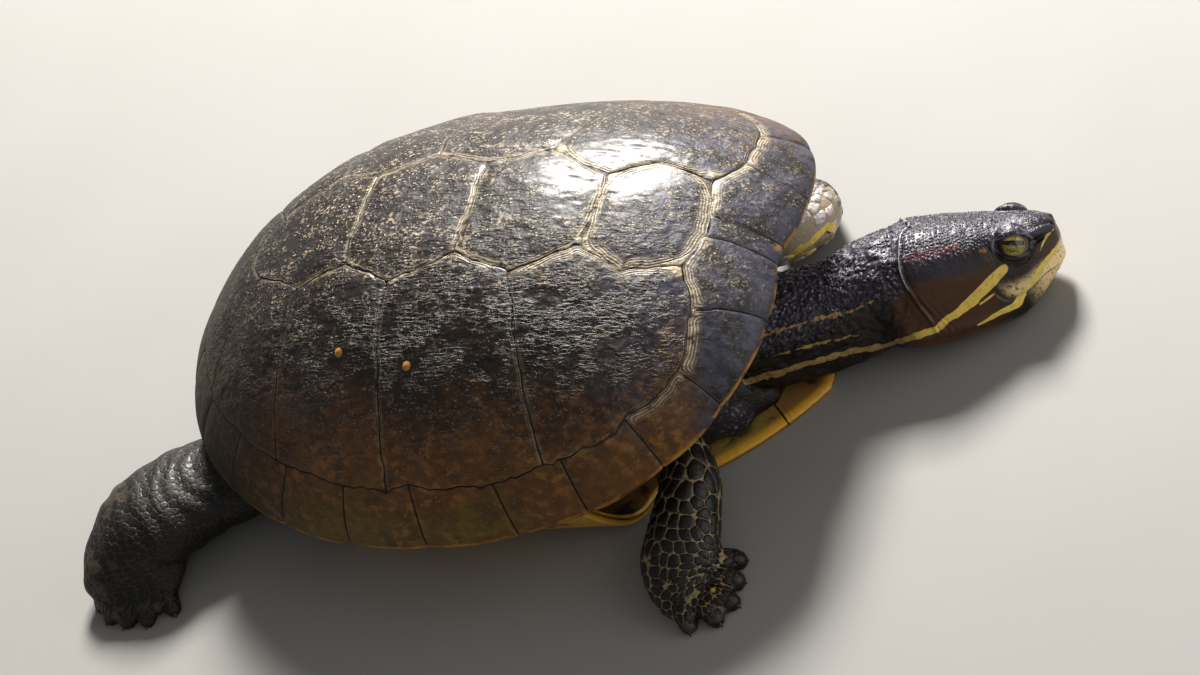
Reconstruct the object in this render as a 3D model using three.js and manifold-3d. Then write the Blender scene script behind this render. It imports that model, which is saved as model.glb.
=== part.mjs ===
// A red-eared slider, an adult female, lying flat on its plastron with the neck stretched out.
// Millimetres. +X runs forward to the head, +Y to the animal's left, +Z up. The origin is on the
// floor, on the flat underside of the plastron, below the middle of the shell.
import * as THREE from 'three';
import { mergeVertices } from 'three/addons/utils/BufferGeometryUtils.js';
import Module from 'manifold-3d';

const wasm = await Module();
wasm.setup();

// Carapace: the upper shell.
const SHELL_LENGTH = 210;
const SHELL_WIDTH = 157;
const SHELL_HEIGHT = 83.2;
const RIM_HEIGHT = 27;
const FRONT_RISE = 24.9;
const REAR_RISE = 2.9;
const NOTCH_DEPTH = 3;
const NOTCH_WIDTH = 14;
const FRONT_SQUARENESS = 2.69;
const REAR_SQUARENESS = 2.04;
const DOME_POWER = 2.275;
const DOME_ROUNDNESS = 1.34;
const SCUTE_THICKNESS = 2.2;
const SEAM_GAP = 0.36;
// Half the seam between two marginals, in degrees round.
const MARGINAL_CLEARANCE = 0.28;

// Edge of the shell: where the marginal scutes end, in degrees round from the front.
const RIM_SEAMS = [2.3, 15.9, 33.8, 47.2, 61, 73.3, 90, 105, 120, 135, 150, 165, 180];
const INNER_SEAMS = [2.8, 22.9, 34.4, 47.4, 60.4, 73.9, 90, 104, 118, 133, 148, 164, 180];
const SULCUS_ANGLES = [0, 14.5, 23, 34, 60, 100, 140, 180];
const SULCUS_SHARE = [0.83, 0.8, 0.86, 0.905, 0.92, 0.905, 0.88, 0.86];
// The seam between costals and marginals, as a share of the way out.
const MARGINAL_SEAM_SHARE = 0.005;
const MARGINAL_ROWS = [0.36, 0.7];
// The rim in section: its thickness, the slope of its edge, and how far it turns in below.
const RIM_EDGE = 2.4;
const RIM_BEVEL = 1;
const RIM_TUCK = 11;
const RIM_TUCK_DROP = 0.6;

// Scutes along the back: x of each corner and its distance from the midline.
const VERTEBRAL_EDGES = [
  [[83, 16], [67, 20], [54, 13]],
  [[54, 13], [35, 22.5], [15, 17]],
  [[15, 17], [-5, 24], [-23, 16.5]],
  [[-23, 16.5], [-39, 21.5], [-58.5, 11]],
];
const VERTEBRAL_BOW = [4, 1, 1, 1, -7];
const COSTAL_INNER_EDGES = [
  [[83, 16], [67, 20], [54, 13], [35, 22.5]],
  [[35, 22.5], [15, 17], [-5, 24]],
  [[-5, 24], [-23, 16.5], [-39, 21.5]],
  [[-39, 21.5], [-58.5, 11]],
];
const COSTAL_ANGLES = [14.5, 63.7, 94.4, 121, 150];

// Plastron: the flat lower shell and the bridges that join it to the carapace.
const PLASTRON_THICKNESS = 3;
const PLASTRON_FRONT = 98;
const PLASTRON_REAR = -90;
const LOBE_HALF_WIDTH = 42.5;
const FRONT_LOBE_START = 48;
const REAR_LOBE_START = -50;
const FRONT_LOBE_POWER = 1.45;
const REAR_LOBE_POWER = 2.4;
const LOBE_ROUNDNESS = 0.7;
// How far the lobes' curves run on past their blunt ends.
const FRONT_LOBE_EXTRA = 2.5;
const REAR_LOBE_EXTRA = 2;
// Lengths over which the bridges flare out from the lobes.
const FRONT_FLARE = 6;
const REAR_FLARE = 4;
const BRIDGE_HALF_WIDTH = 66.6;
const BRIDGE_FRONT = 44;
const BRIDGE_REAR = -42;
const FLAT_HALF_WIDTH = 46;
const BRIDGE_HEIGHT = 21;
const BRIDGE_POWER = 2.4;
// The seam between left and right scutes runs a little to the right of the middle.
const MIDLINE_SEAM = -1.4;
const PLASTRON_NAMES = ['gular', 'humeral', 'pectoral', 'abdominal', 'femoral', 'anal'];
const PLASTRON_MIDLINE = [PLASTRON_FRONT, 71, 54, 22, -24, -51, PLASTRON_REAR];
const PLASTRON_EDGE = [PLASTRON_FRONT, 88, 57, 24, -47, -70, PLASTRON_REAR];

// Trunk: the body inside the shell, set back behind the rim at the neck and the legs.
const TRUNK_DEPTH = 3.3;
const TRUNK_FLOOR = 3.5;
const FLOOR_MARGIN = 7;
const TRUNK_SIDES = 36;
// Rows of the trunk's top, as shares of the way out to the marginals.
const TRUNK_ROWS = [0.25, 0.45, 0.65, 0.8];
// The body wall goes down from under the rim: steps in from it, and how far it bulges below.
const RIM_CLEARANCE = 1.4;
const WALL_TOP_DROP = 1.6;
const WALL_BULGE = 1;
const WALL_BULGE_REACH = 0.35;
const WALL_BULGE_FALL = 0.62;
const FLOOR_END_MARGIN = 12;
const FRONT_SETBACK = 30;
const SIDE_SETBACK = 16.5;
const REAR_SETBACK = 22;
const BODY_GAP = 0.35;

// Head and neck. The head has its own frame: snout tip, forward, left and up.
const SNOUT = new THREE.Vector3(164.3, 33.5, 9.6);
const HEAD_FORWARD = new THREE.Vector3(0.93, 0.337, -0.143).normalize();
const HEAD_UP = new THREE.Vector3(0.012, 0.36, 0.933).normalize();
const HEAD_LENGTH = 46;
// Distance behind the snout, height of crown, depth of chin, half width.
const HEAD_SECTIONS = [
  [0.3, 6.5, -3.2, 2.6],
  [1.6, 9.8, -5.4, 5],
  [4.5, 12, -8, 7.6],
  [9, 13, -11, 10.6],
  [14.5, 13.6, -12.4, 12.8],
  [21, 15, -13, 14.4],
  [29, 16.4, -13.5, 16],
  [37, 17.4, -14, 17.2],
  [45, 18, -14.2, 17.4],
  [50, 16.6, -13.6, 16],
];
const HEAD_SQUARENESS = 2.3;
const HEAD_SIDES = 16;
const EYE_RADIUS = 5.4;
const EYE_BACK = 13.2;
const EYE_SIDE = 7.2;
const EYE_UP = 7.6;

// The neck overlaps the back of the head: distance behind the snout, height, half width and height.
const NAPE_STATIONS = [
  [42, 1.6, 15.6, 15],
  [52, 1.4, 15.4, 15],
];
// The neck from there to inside the shell. A station of a neck, leg or tail is
// [x, y, z, half width, half height].
const NECK_STATIONS = [
  [103, 10, 17.2, 15, 14.6],
  [90, 4, 19, 15.4, 15],
  [72, 0, 22, 16.4, 16],
  [52, 0, 24, 17, 16],
];

// Legs, from inside the shell to the palm. A toe is [root x, root y, tip x, tip y, half width].
const LEGS = {
  front_right: {
    leg: [
      [48, -24, 21, 10, 10],
      [63, -38, 19.5, 9, 9.2],
      [72.4, -51, 15.8, 8.4, 8.4],
      [72.6, -62, 12.2, 10.6, 8.4],
      [72.4, -72, 8.6, 12, 7.4],
      [75, -80, 4.6, 10.4, 5],
      [79, -84, 3, 8, 3.6],
    ],
    toes: [
      [79, -71, 86.8, -68.6, 2.9],
      [81, -76, 88.6, -76, 2.7],
      [81.5, -81, 89.3, -83.6, 2.6],
      [79.5, -84, 86, -89.3, 2.5],
      [75, -84.5, 77.8, -91.3, 2.4],
    ],
  },
  front_left: {
    leg: [
      [48, 24, 21, 11, 10],
      [62, 33, 21, 10, 9.5],
      [77, 41, 18, 9.5, 9],
      [79, 51, 12.5, 9.6, 8.4],
      [72, 59, 8, 9.4, 6.8],
      [65, 64, 4.2, 9.4, 4.7],
      [60, 66, 3, 7.4, 3.5],
    ],
    toes: [
      [66, 70, 62, 78, 2.4],
      [61, 71, 55, 77, 2.6],
      [58, 69, 50, 73, 2.6],
      [57, 65, 48, 66, 2.6],
      [58, 61, 49, 59, 2.4],
    ],
  },
  hind_right: {
    leg: [
      [-58, -24, 15, 13, 9],
      [-82, -35, 13.6, 15.5, 9.8],
      [-102, -44, 14, 18, 11.5],
      [-114, -55, 14, 19, 12],
      [-118, -66, 10, 18, 9.4],
      [-117, -73, 5.4, 15.6, 5.9],
      [-116, -79, 3, 11.5, 3.5],
    ],
    toes: [
      [-126, -73, -131, -76, 2.5],
      [-122, -76, -125.6, -80.6, 2.6],
      [-117, -78, -118.8, -82.4, 2.6],
      [-111.5, -77.5, -111.5, -82, 2.5],
      [-106, -74.5, -103.6, -78.4, 2.3],
    ],
  },
  hind_left: {
    leg: [
      [-60, 24, 15, 13, 9],
      [-78, 38, 13.6, 14, 9.8],
      [-88, 52, 12, 13, 9.6],
      [-88, 62, 9.5, 12, 8],
      [-87, 69, 6.6, 12, 6],
      [-86, 75, 4.1, 12, 4.5],
      [-85, 80, 3, 10, 3.5],
    ],
    toes: [
      [-94, 74, -99, 78, 2.4],
      [-90, 77, -93, 82, 2.6],
      [-85, 79, -85.5, 84, 2.6],
      [-80, 77, -78.5, 82, 2.5],
      [-76, 73, -72, 77, 2.3],
    ],
  },
};
// A toe narrows from its root to its tip, arched a little at the knuckle.
const KNUCKLE_PLACE = 0.55;
const KNUCKLE_RISE = 1;
const TOE_TIP_SHARE = 0.72;
const CLAW_LENGTH = 4;
const CLAW_ROOT_DEPTH = 1.2;
const CLAW_ROOT_SHARE = 0.52;
const CLAW_MIDDLE_SHARE = 0.42;
const CLAW_TIP = 0.5;

// The tail curls to the right behind the leg.
const TAIL_STATIONS = [
  [-66, 0, 13, 10, 8],
  [-84, -2, 12, 8.5, 7.5],
  [-97, -8, 8.5, 6.6, 6],
  [-107, -17, 4.4, 4.4, 4.3],
  [-111, -26, 2.4, 2.6, 2.7],
  [-112, -32, 1.1, 1, 1.2],
];

const MATERIALS = {
  scute: new THREE.MeshStandardMaterial({ color: 0x352b27, roughness: 0.35, metalness: 0 }),
  plastron: new THREE.MeshStandardMaterial({ color: 0xb98a32, roughness: 0.45, metalness: 0 }),
  skin: new THREE.MeshStandardMaterial({ color: 0x2a211b, roughness: 0.55, metalness: 0 }),
  eye: new THREE.MeshStandardMaterial({ color: 0x8f8a2c, roughness: 0.1, metalness: 0 }),
};

const turtle = new THREE.Group();
const radians = THREE.MathUtils.degToRad;
const mix = THREE.MathUtils.lerp;

// Reads a table of stations and values at one place, in straight lines between them.
function between(stations, values, place) {
  let k = 1;
  while (k < stations.length - 1 && place > stations[k]) k += 1;
  const share = (place - stations[k - 1]) / (stations[k] - stations[k - 1]);
  return mix(values[k - 1], values[k], THREE.MathUtils.clamp(share, 0, 1));
}

// Reads a place on a line of corners, 0 at its start and 1 at its end, by even steps per corner.
function along(corners, share) {
  const place = share * (corners.length - 1);
  const k = Math.min(Math.floor(place), corners.length - 2);
  const x = mix(corners[k][0], corners[k + 1][0], place - k);
  const y = mix(corners[k][1], corners[k + 1][1], place - k);
  return [x, y];
}

// Height of the rim: lowest at the sides, higher behind, highest over the neck.
function rimHeight(angle) {
  const c = Math.cos(angle);
  const rise = c > 0 ? FRONT_RISE : REAR_RISE;
  return RIM_HEIGHT + rise * c * c;
}

// Reach of the outline, as a share of an ellipse: square-shouldered in front, oval behind.
function outlineReach(angle) {
  const c = Math.abs(Math.cos(angle));
  const s = Math.abs(Math.sin(angle));
  const power = Math.cos(angle) > 0 ? FRONT_SQUARENESS : REAR_SQUARENESS;
  return (c ** power + s ** power) ** (-1 / power);
}

// Point on the carapace at an angle round and a share of the way out, moved inwards by depth.
function carapace(angle, share, depth = 0) {
  const reach = outlineReach(angle) * share;
  const y = (SHELL_WIDTH / 2) * reach * Math.sin(angle);
  const notch = Math.cos(angle) > 0 ? NOTCH_DEPTH * share ** 4 * Math.exp(-((y / NOTCH_WIDTH) ** 2)) : 0;
  const x = (SHELL_LENGTH / 2) * reach * Math.cos(angle) - notch;
  const dome = Math.max(1 - share ** DOME_POWER, 0) ** (1 / DOME_ROUNDNESS);
  const rim = rimHeight(angle);
  const point = new THREE.Vector3(x, y, mix(rim, SHELL_HEIGHT, dome));
  if (depth === 0) return point;
  return point.addScaledVector(carapaceNormal(angle, share), -depth);
}

// Outward normal of the carapace, from two short steps along it.
function carapaceNormal(angle, share) {
  const step = 0.01;
  const out = Math.min(Math.max(share, 2 * step), 1 - 2 * step);
  const radial = carapace(angle, out + step).sub(carapace(angle, out - step));
  const round = carapace(angle + step, out).sub(carapace(angle - step, out));
  return radial.cross(round).normalize();
}

// Point on the carapace above a place in plan.
function carapaceAt(x, y, depth) {
  const angle = Math.atan2(y / SHELL_WIDTH, x / SHELL_LENGTH);
  const share = Math.hypot((2 * x) / SHELL_LENGTH, (2 * y) / SHELL_WIDTH) / outlineReach(angle);
  return carapace(angle, share, depth);
}

// Share of the way out where the marginal scutes begin.
function sulcus(angle) {
  const turned = Math.abs(Math.atan2(Math.sin(angle), Math.cos(angle)));
  return between(SULCUS_ANGLES, SULCUS_SHARE, THREE.MathUtils.radToDeg(turned));
}

// Closed body from rings of points: each ring has as many points, and the two ends are fans.
function bodyFromRings(rings) {
  const count = rings[0].length;
  const points = rings.flat();
  const faces = [];
  for (let i = 0; i < rings.length - 1; i += 1) {
    for (let j = 0; j < count; j += 1) {
      const a = i * count + j;
      const b = i * count + ((j + 1) % count);
      faces.push(a, b, b + count, a, b + count, a + count);
    }
  }
  const last = (rings.length - 1) * count;
  for (let j = 1; j < count - 1; j += 1) {
    faces.push(0, j + 1, j);
    faces.push(last, last + j, last + j + 1);
  }
  return bodyFromFaces(points, faces);
}

function bodyFromFaces(points, faces) {
  const geometry = new THREE.BufferGeometry();
  geometry.setFromPoints(points);
  geometry.setIndex(faces);
  return facesOut(mergeVertices(geometry, 1e-4));
}

// Turns a body's faces outwards, by the sign of its volume.
function facesOut(geometry) {
  const at = geometry.getAttribute('position');
  const index = geometry.getIndex().array;
  const [a, b, c] = [new THREE.Vector3(), new THREE.Vector3(), new THREE.Vector3()];
  let volume = 0;
  for (let i = 0; i < index.length; i += 3) {
    a.fromBufferAttribute(at, index[i]);
    b.fromBufferAttribute(at, index[i + 1]);
    c.fromBufferAttribute(at, index[i + 2]);
    volume += a.dot(b.cross(c));
  }
  if (volume > 0) return geometry;
  return geometry.setIndex(Array.from(index).reverse());
}

// Plate between an outer and an inner sheet. place(u, v, depth) gives its points.
function plate(place, uSteps, vSteps, thickness) {
  const outer = [];
  const inner = [];
  for (let i = 0; i <= uSteps; i += 1) {
    for (let j = 0; j <= vSteps; j += 1) {
      outer.push(place(i / uSteps, j / vSteps, 0));
      inner.push(place(i / uSteps, j / vSteps, thickness));
    }
  }
  const offset = outer.length;
  const row = vSteps + 1;
  const faces = [];
  for (let i = 0; i < uSteps; i += 1) {
    for (let j = 0; j < vSteps; j += 1) {
      const a = i * row + j;
      faces.push(a, a + row, a + row + 1, a, a + row + 1, a + 1);
      faces.push(a + offset, a + row + 1 + offset, a + row + offset);
      faces.push(a + offset, a + 1 + offset, a + row + 1 + offset);
    }
  }
  const rim = [];
  for (let j = 0; j < vSteps; j += 1) rim.push(j);
  for (let i = 0; i < uSteps; i += 1) rim.push(i * row + vSteps);
  for (let j = vSteps; j > 0; j -= 1) rim.push(uSteps * row + j);
  for (let i = uSteps; i > 0; i -= 1) rim.push(i * row);
  rim.forEach((a, k) => {
    const b = rim[(k + 1) % rim.length];
    faces.push(a, b, b + offset, a, b + offset, a + offset);
  });
  return bodyFromFaces([...outer, ...inner], faces);
}

// Pulls a patch of plan back from its edges by the seam's gap, so that neighbours stay clear.
function inset(patch) {
  const pull = (near, far) => SEAM_GAP / Math.hypot(far[0] - near[0], far[1] - near[1]);
  return (u, v) => {
    const uPull = pull(patch(0, v), patch(1, v));
    const vPull = pull(patch(u, 0), patch(u, 1));
    return patch(mix(uPull, 1 - uPull, u), mix(vPull, 1 - vPull, v));
  };
}

function addNode(name, geometry, material) {
  const mesh = new THREE.Mesh(geometry, MATERIALS[material].clone());
  mesh.name = name;
  geometry.computeVertexNormals();
  turtle.add(mesh);
}

// A body as a solid that can be joined and cut, and back.
function solid(geometry) {
  const bare = geometry.clone();
  bare.deleteAttribute('normal');
  bare.deleteAttribute('uv');
  const merged = mergeVertices(bare, 1e-4);
  const vertProperties = new Float32Array(merged.getAttribute('position').array);
  const triVerts = new Uint32Array(merged.getIndex().array);
  return new wasm.Manifold(new wasm.Mesh({ numProp: 3, vertProperties, triVerts }));
}

function geometryOf(body) {
  const mesh = body.getMesh();
  const geometry = new THREE.BufferGeometry();
  geometry.setAttribute('position', new THREE.BufferAttribute(mesh.vertProperties, 3));
  geometry.setIndex(Array.from(mesh.triVerts));
  return geometry;
}

// All the space on one side of a plane: the side that the direction points to.
function halfSpace(point, direction) {
  const size = 600;
  const box = new THREE.BoxGeometry(size, size, size);
  box.translate(0, 0, size / 2);
  const turn = new THREE.Quaternion().setFromUnitVectors(new THREE.Vector3(0, 0, 1), direction);
  box.applyQuaternion(turn);
  box.translate(point.x, point.y, point.z);
  return solid(box);
}

const ABOVE_FLOOR = halfSpace(new THREE.Vector3(0, 0, 0), new THREE.Vector3(0, 0, 1));

// Parts a body in two at a plane, with the thin cut between them.
function partAt(body, point, direction) {
  const shift = BODY_GAP / 2;
  const ahead = halfSpace(point.clone().addScaledVector(direction, shift), direction);
  const back = direction.clone().negate();
  const behind = halfSpace(point.clone().addScaledVector(back, shift), back);
  return [body.intersect(ahead), body.intersect(behind)];
}

// Tube along a smooth line, with an oval section that changes from station to station.
// Each station is [x, y, z, half width, half height]; the width lies level.
function ovalTube(stations, steps, sides) {
  const centres = stations.map(([x, y, z]) => new THREE.Vector3(x, y, z));
  const sizes = stations.map(([, , , wide, high]) => new THREE.Vector3(wide, high, 0));
  const path = new THREE.CatmullRomCurve3(centres);
  const size = new THREE.CatmullRomCurve3(sizes);
  const rings = [];
  for (let i = 0; i <= steps; i += 1) {
    const centre = path.getPoint(i / steps);
    const oval = size.getPoint(i / steps);
    const forward = path.getTangent(i / steps);
    const side = new THREE.Vector3(0, 0, 1).cross(forward).normalize();
    const up = forward.clone().cross(side);
    const ring = [];
    for (let j = 0; j < sides; j += 1) {
      const turn = (2 * Math.PI * j) / sides;
      const point = centre.clone().addScaledVector(side, oval.x * Math.cos(turn));
      ring.push(point.addScaledVector(up, oval.y * Math.sin(turn)));
    }
    rings.push(ring);
  }
  return bodyFromRings(rings);
}

// --- Carapace scutes ---

function addCarapacePlate(name, patch, uSteps, vSteps) {
  const clear = inset(patch);
  const place = (u, v, depth) => carapaceAt(...clear(u, v), depth);
  addNode(name, plate(place, uSteps, vSteps, SCUTE_THICKNESS), 'scute');
}

// Place in plan on the line where costals and marginals meet.
function sulcusPlan(degrees) {
  const angle = radians(degrees);
  const point = carapace(angle, sulcus(angle));
  return [point.x, point.y];
}

// A vertebral scute spans the midline between two mirrored edges, its ends bowed a little.
function addVertebral(number, edge) {
  const bowFront = VERTEBRAL_BOW[number - 1];
  const bowRear = VERTEBRAL_BOW[number];
  const patch = (u, v) => {
    const [x, y] = along(edge, u);
    const across = 2 * v - 1;
    const bow = mix(bowFront, bowRear, u) * (1 - across * across);
    return [x + bow, y * across];
  };
  addCarapacePlate(`vertebral_${number}`, patch, 4, 6);
}

VERTEBRAL_EDGES.forEach((edge, k) => addVertebral(k + 1, edge));

// The fifth vertebral fans out over the tail, from the fourth to the rear marginals.
const [LAST_X, LAST_Y] = VERTEBRAL_EDGES[3][2];
const rearFan = (u, v) => {
  const across = 2 * v - 1;
  const front = [LAST_X + VERTEBRAL_BOW[4] * (1 - across * across), LAST_Y * across];
  const rear = sulcusPlan(180 - (180 - COSTAL_ANGLES[4]) * across);
  return [mix(front[0], rear[0], u), mix(front[1], rear[1], u)];
};
addCarapacePlate('vertebral_5', rearFan, 4, 6);

// A costal scute runs from the vertebrals down to the marginals.
function addCostal(number, side, sideName) {
  const edge = COSTAL_INNER_EDGES[number - 1];
  const patch = (u, v) => {
    const top = along(edge, u);
    const low = sulcusPlan(mix(COSTAL_ANGLES[number - 1], COSTAL_ANGLES[number], u));
    return [mix(top[0], low[0], v), side * mix(top[1], low[1], v)];
  };
  const steps = Math.max(2 * (edge.length - 1), 4);
  addCarapacePlate(`costal_${sideName}_${number}`, patch, steps, 4);
}

// A marginal scute wraps the rim: a ring of points in section, swept along the edge.
function marginalRing(rimAngle, innerAngle) {
  const top = (v) => {
    const angle = mix(innerAngle, rimAngle, v);
    return carapace(angle, mix(sulcus(angle), 1, v));
  };
  const start = sulcus(innerAngle) + MARGINAL_SEAM_SHARE;
  const edge = carapace(rimAngle, 1);
  const centreward = new THREE.Vector3(-edge.x, -edge.y, 0).normalize();
  const under = edge.clone().addScaledVector(centreward, RIM_BEVEL);
  under.z -= RIM_EDGE;
  const tuck = edge.clone().addScaledVector(centreward, RIM_TUCK);
  tuck.z -= RIM_EDGE + RIM_TUCK_DROP;
  const first = carapace(innerAngle, start);
  const last = carapace(innerAngle, start, SCUTE_THICKNESS);
  return [first, ...MARGINAL_ROWS.map(top), edge, under, tuck, last];
}

function addMarginal(number, side, sideName) {
  const angleAt = (seams, share) => {
    const from = seams[number - 1] + MARGINAL_CLEARANCE;
    const to = seams[number] - MARGINAL_CLEARANCE;
    return side * radians(mix(from, to, share));
  };
  const ringAt = (share) => marginalRing(angleAt(RIM_SEAMS, share), angleAt(INNER_SEAMS, share));
  const rings = [0, 0.5, 1].map(ringAt);
  addNode(`marginal_${sideName}_${number}`, bodyFromRings(rings), 'scute');
}

for (const [side, sideName] of [[1, 'left'], [-1, 'right']]) {
  for (let number = 1; number <= 4; number += 1) addCostal(number, side, sideName);
  for (let number = 1; number <= 12; number += 1) addMarginal(number, side, sideName);
}

// The nuchal is a small wedge on the midline, between the first marginals.
const nuchalRings = [-1, 0, 1].map((turn) => {
  const rimAngle = turn * radians(RIM_SEAMS[0] - MARGINAL_CLEARANCE);
  const innerAngle = turn * radians(INNER_SEAMS[0] - MARGINAL_CLEARANCE);
  return marginalRing(rimAngle, innerAngle);
});
addNode('nuchal', bodyFromRings(nuchalRings), 'scute');

// --- Plastron ---

// Half width of the lower shell: two rounded lobes, and the bridges between the legs.
function plastronHalfWidth(x) {
  const frontLength = PLASTRON_FRONT + FRONT_LOBE_EXTRA - FRONT_LOBE_START;
  const rearLength = REAR_LOBE_START - PLASTRON_REAR + REAR_LOBE_EXTRA;
  const front = Math.max((x - FRONT_LOBE_START) / frontLength, 0) ** FRONT_LOBE_POWER;
  const rear = Math.max((REAR_LOBE_START - x) / rearLength, 0) ** REAR_LOBE_POWER;
  const lobe = LOBE_HALF_WIDTH * ((1 - front) * (1 - rear)) ** LOBE_ROUNDNESS;
  const flareFront = FRONT_LOBE_START + FRONT_FLARE;
  const flareRear = REAR_LOBE_START - REAR_FLARE;
  const intoBridge = Math.min(
    THREE.MathUtils.smoothstep(flareFront - x, 0, flareFront - BRIDGE_FRONT),
    THREE.MathUtils.smoothstep(x - flareRear, 0, BRIDGE_REAR - flareRear),
  );
  return mix(lobe, BRIDGE_HALF_WIDTH, intoBridge);
}

// Point on the underside: flat in the middle, turning up into the bridge beyond it.
function underside(x, y, depth) {
  const reach = BRIDGE_HALF_WIDTH - FLAT_HALF_WIDTH;
  const t = Math.max((Math.abs(y) - FLAT_HALF_WIDTH) / reach, 0);
  const z = BRIDGE_HEIGHT * t ** BRIDGE_POWER;
  const slope = (BRIDGE_HEIGHT / reach) * BRIDGE_POWER * t ** (BRIDGE_POWER - 1);
  const inward = new THREE.Vector3(0, -Math.sign(y) * slope, 1).normalize();
  return new THREE.Vector3(x, y, z).addScaledVector(inward, depth);
}

function addPlastronPair(k) {
  for (const [side, sideName] of [[1, 'left'], [-1, 'right']]) {
    const patch = (u, v) => {
      const edgeX = mix(PLASTRON_EDGE[k], PLASTRON_EDGE[k + 1], u);
      const middleX = mix(PLASTRON_MIDLINE[k], PLASTRON_MIDLINE[k + 1], u);
      const y = mix(MIDLINE_SEAM, side * plastronHalfWidth(edgeX), v);
      return [mix(middleX, edgeX, v), y];
    };
    const clear = inset(patch);
    const place = (u, v, depth) => underside(...clear(u, v), depth);
    const bridged = ['pectoral', 'abdominal'].includes(PLASTRON_NAMES[k]);
    const acrossSteps = bridged ? 7 : 3;
    addNode(`${PLASTRON_NAMES[k]}_${sideName}`, plate(place, 5, acrossSteps, PLASTRON_THICKNESS), 'plastron');
  }
}

PLASTRON_NAMES.forEach((name, k) => addPlastronPair(k));

// --- Trunk ---

// How far the body wall stands back from the rim, deepest behind the neck and front legs.
function wallSetback(angle) {
  const c = Math.cos(angle);
  return mix(SIDE_SETBACK, c > 0 ? FRONT_SETBACK : REAR_SETBACK, c * c);
}

// Reach of the trunk's floor at an angle: just inside the edge of the plastron's flat part.
function floorReach(angle) {
  const edge = carapace(angle, 1);
  let share = 0.95;
  while (share > 0.3) {
    const limit = Math.min(plastronHalfWidth(edge.x * share), FLAT_HALF_WIDTH) - FLOOR_MARGIN;
    const lengthways = PLASTRON_FRONT - FLOOR_END_MARGIN;
    if (Math.abs(edge.y * share) < limit && Math.abs(edge.x * share) < lengthways) return share;
    share -= 0.01;
  }
  return share;
}

// The trunk is a ring of profiles round the middle, grown outwards by an amount for cutting.
function trunkBody(grow) {
  const rings = TRUNK_ROWS.map(() => []);
  const lower = [[], [], [], [], []];
  for (let i = 0; i < TRUNK_SIDES; i += 1) {
    const angle = (2 * Math.PI * i) / TRUNK_SIDES;
    const edge = carapace(angle, 1);
    const length = Math.hypot(edge.x, edge.y);
    const at = (back, z) => {
      const share = 1 - (back - grow) / length;
      return new THREE.Vector3(edge.x * share, edge.y * share, z);
    };
    const shell = sulcus(angle);
    TRUNK_ROWS.forEach((row, k) => rings[k].push(carapace(angle, row * shell, TRUNK_DEPTH - grow)));
    const floor = length * (1 - floorReach(angle));
    const wall = wallSetback(angle);
    const underRim = edge.z - RIM_EDGE;
    const bulge = mix(wall, floor, WALL_BULGE_REACH) + WALL_BULGE;
    lower[0].push(carapace(angle, shell - 3 * MARGINAL_SEAM_SHARE, TRUNK_DEPTH + SEAM_GAP - grow));
    lower[1].push(at(RIM_TUCK + RIM_CLEARANCE, underRim - RIM_BEVEL));
    lower[2].push(at(wall, underRim - WALL_TOP_DROP));
    lower[3].push(at(bulge, mix(edge.z, TRUNK_FLOOR, WALL_BULGE_FALL)));
    lower[4].push(at(floor, TRUNK_FLOOR - grow));
  }
  return bodyFromRings([...rings, ...lower]);
}

const trunk = solid(trunkBody(0));
const trunkSpace = solid(trunkBody(BODY_GAP));
addNode('trunk', geometryOf(trunk), 'skin');

// --- Head and neck ---

const HEAD_LEFT = HEAD_UP.clone().cross(HEAD_FORWARD).normalize();
HEAD_UP.crossVectors(HEAD_FORWARD, HEAD_LEFT);

function headPoint(forward, left, up) {
  const point = SNOUT.clone().addScaledVector(HEAD_FORWARD, forward);
  return point.addScaledVector(HEAD_LEFT, left).addScaledVector(HEAD_UP, up);
}

// Ring round the head: a rounded oblong from chin to crown.
function headRing([back, crown, chin, half]) {
  const ring = [];
  for (let j = 0; j < HEAD_SIDES; j += 1) {
    const turn = (2 * Math.PI * j) / HEAD_SIDES;
    const c = Math.cos(turn);
    const s = Math.sin(turn);
    const power = HEAD_SQUARENESS;
    const reach = (Math.abs(c) ** power + Math.abs(s) ** power) ** (-1 / power);
    const up = mix(chin, crown, 0.5) + ((crown - chin) / 2) * reach * s;
    ring.push(headPoint(-back, half * reach * c, up));
  }
  return ring;
}

const headBody = solid(bodyFromRings(HEAD_SECTIONS.map(headRing)));
const neckStations = [
  ...NAPE_STATIONS.map(([back, up, wide, high]) => [...headPoint(-back, 0, up), wide, high]),
  ...NECK_STATIONS,
];
// The neck lies over the front of the plastron, clear of it by a small gap.
const PLASTRON_CLEARANCE = 2 * BODY_GAP;
const overPlastron = new THREE.BoxGeometry(SHELL_LENGTH, SHELL_WIDTH, PLASTRON_THICKNESS);
overPlastron.translate(PLASTRON_FRONT - SHELL_LENGTH / 2, 0, PLASTRON_THICKNESS / 2);
overPlastron.translate(PLASTRON_CLEARANCE, 0, PLASTRON_CLEARANCE);
const neckBody = solid(ovalTube(neckStations, 10, 14));
const wholeNeck = headBody.add(neckBody).intersect(ABOVE_FLOOR).subtract(solid(overPlastron));
const foldPlane = headPoint(-HEAD_LENGTH, 0, 0);
const [wholeHead, neckStub] = partAt(wholeNeck, foldPlane, HEAD_FORWARD);
addNode('neck', geometryOf(neckStub.subtract(trunkSpace)), 'skin');

function eyeBody(side, grow) {
  const ball = new THREE.SphereGeometry(EYE_RADIUS + grow, 11, 6);
  const centre = headPoint(-EYE_BACK, side * EYE_SIDE, EYE_UP);
  ball.translate(centre.x, centre.y, centre.z);
  return solid(ball);
}

const openHead = wholeHead.subtract(eyeBody(1, BODY_GAP)).subtract(eyeBody(-1, BODY_GAP));
addNode('head', geometryOf(openHead), 'skin');
addNode('eye_left', geometryOf(eyeBody(1, 0)), 'eye');
addNode('eye_right', geometryOf(eyeBody(-1, 0)), 'eye');

// --- Legs ---

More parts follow.
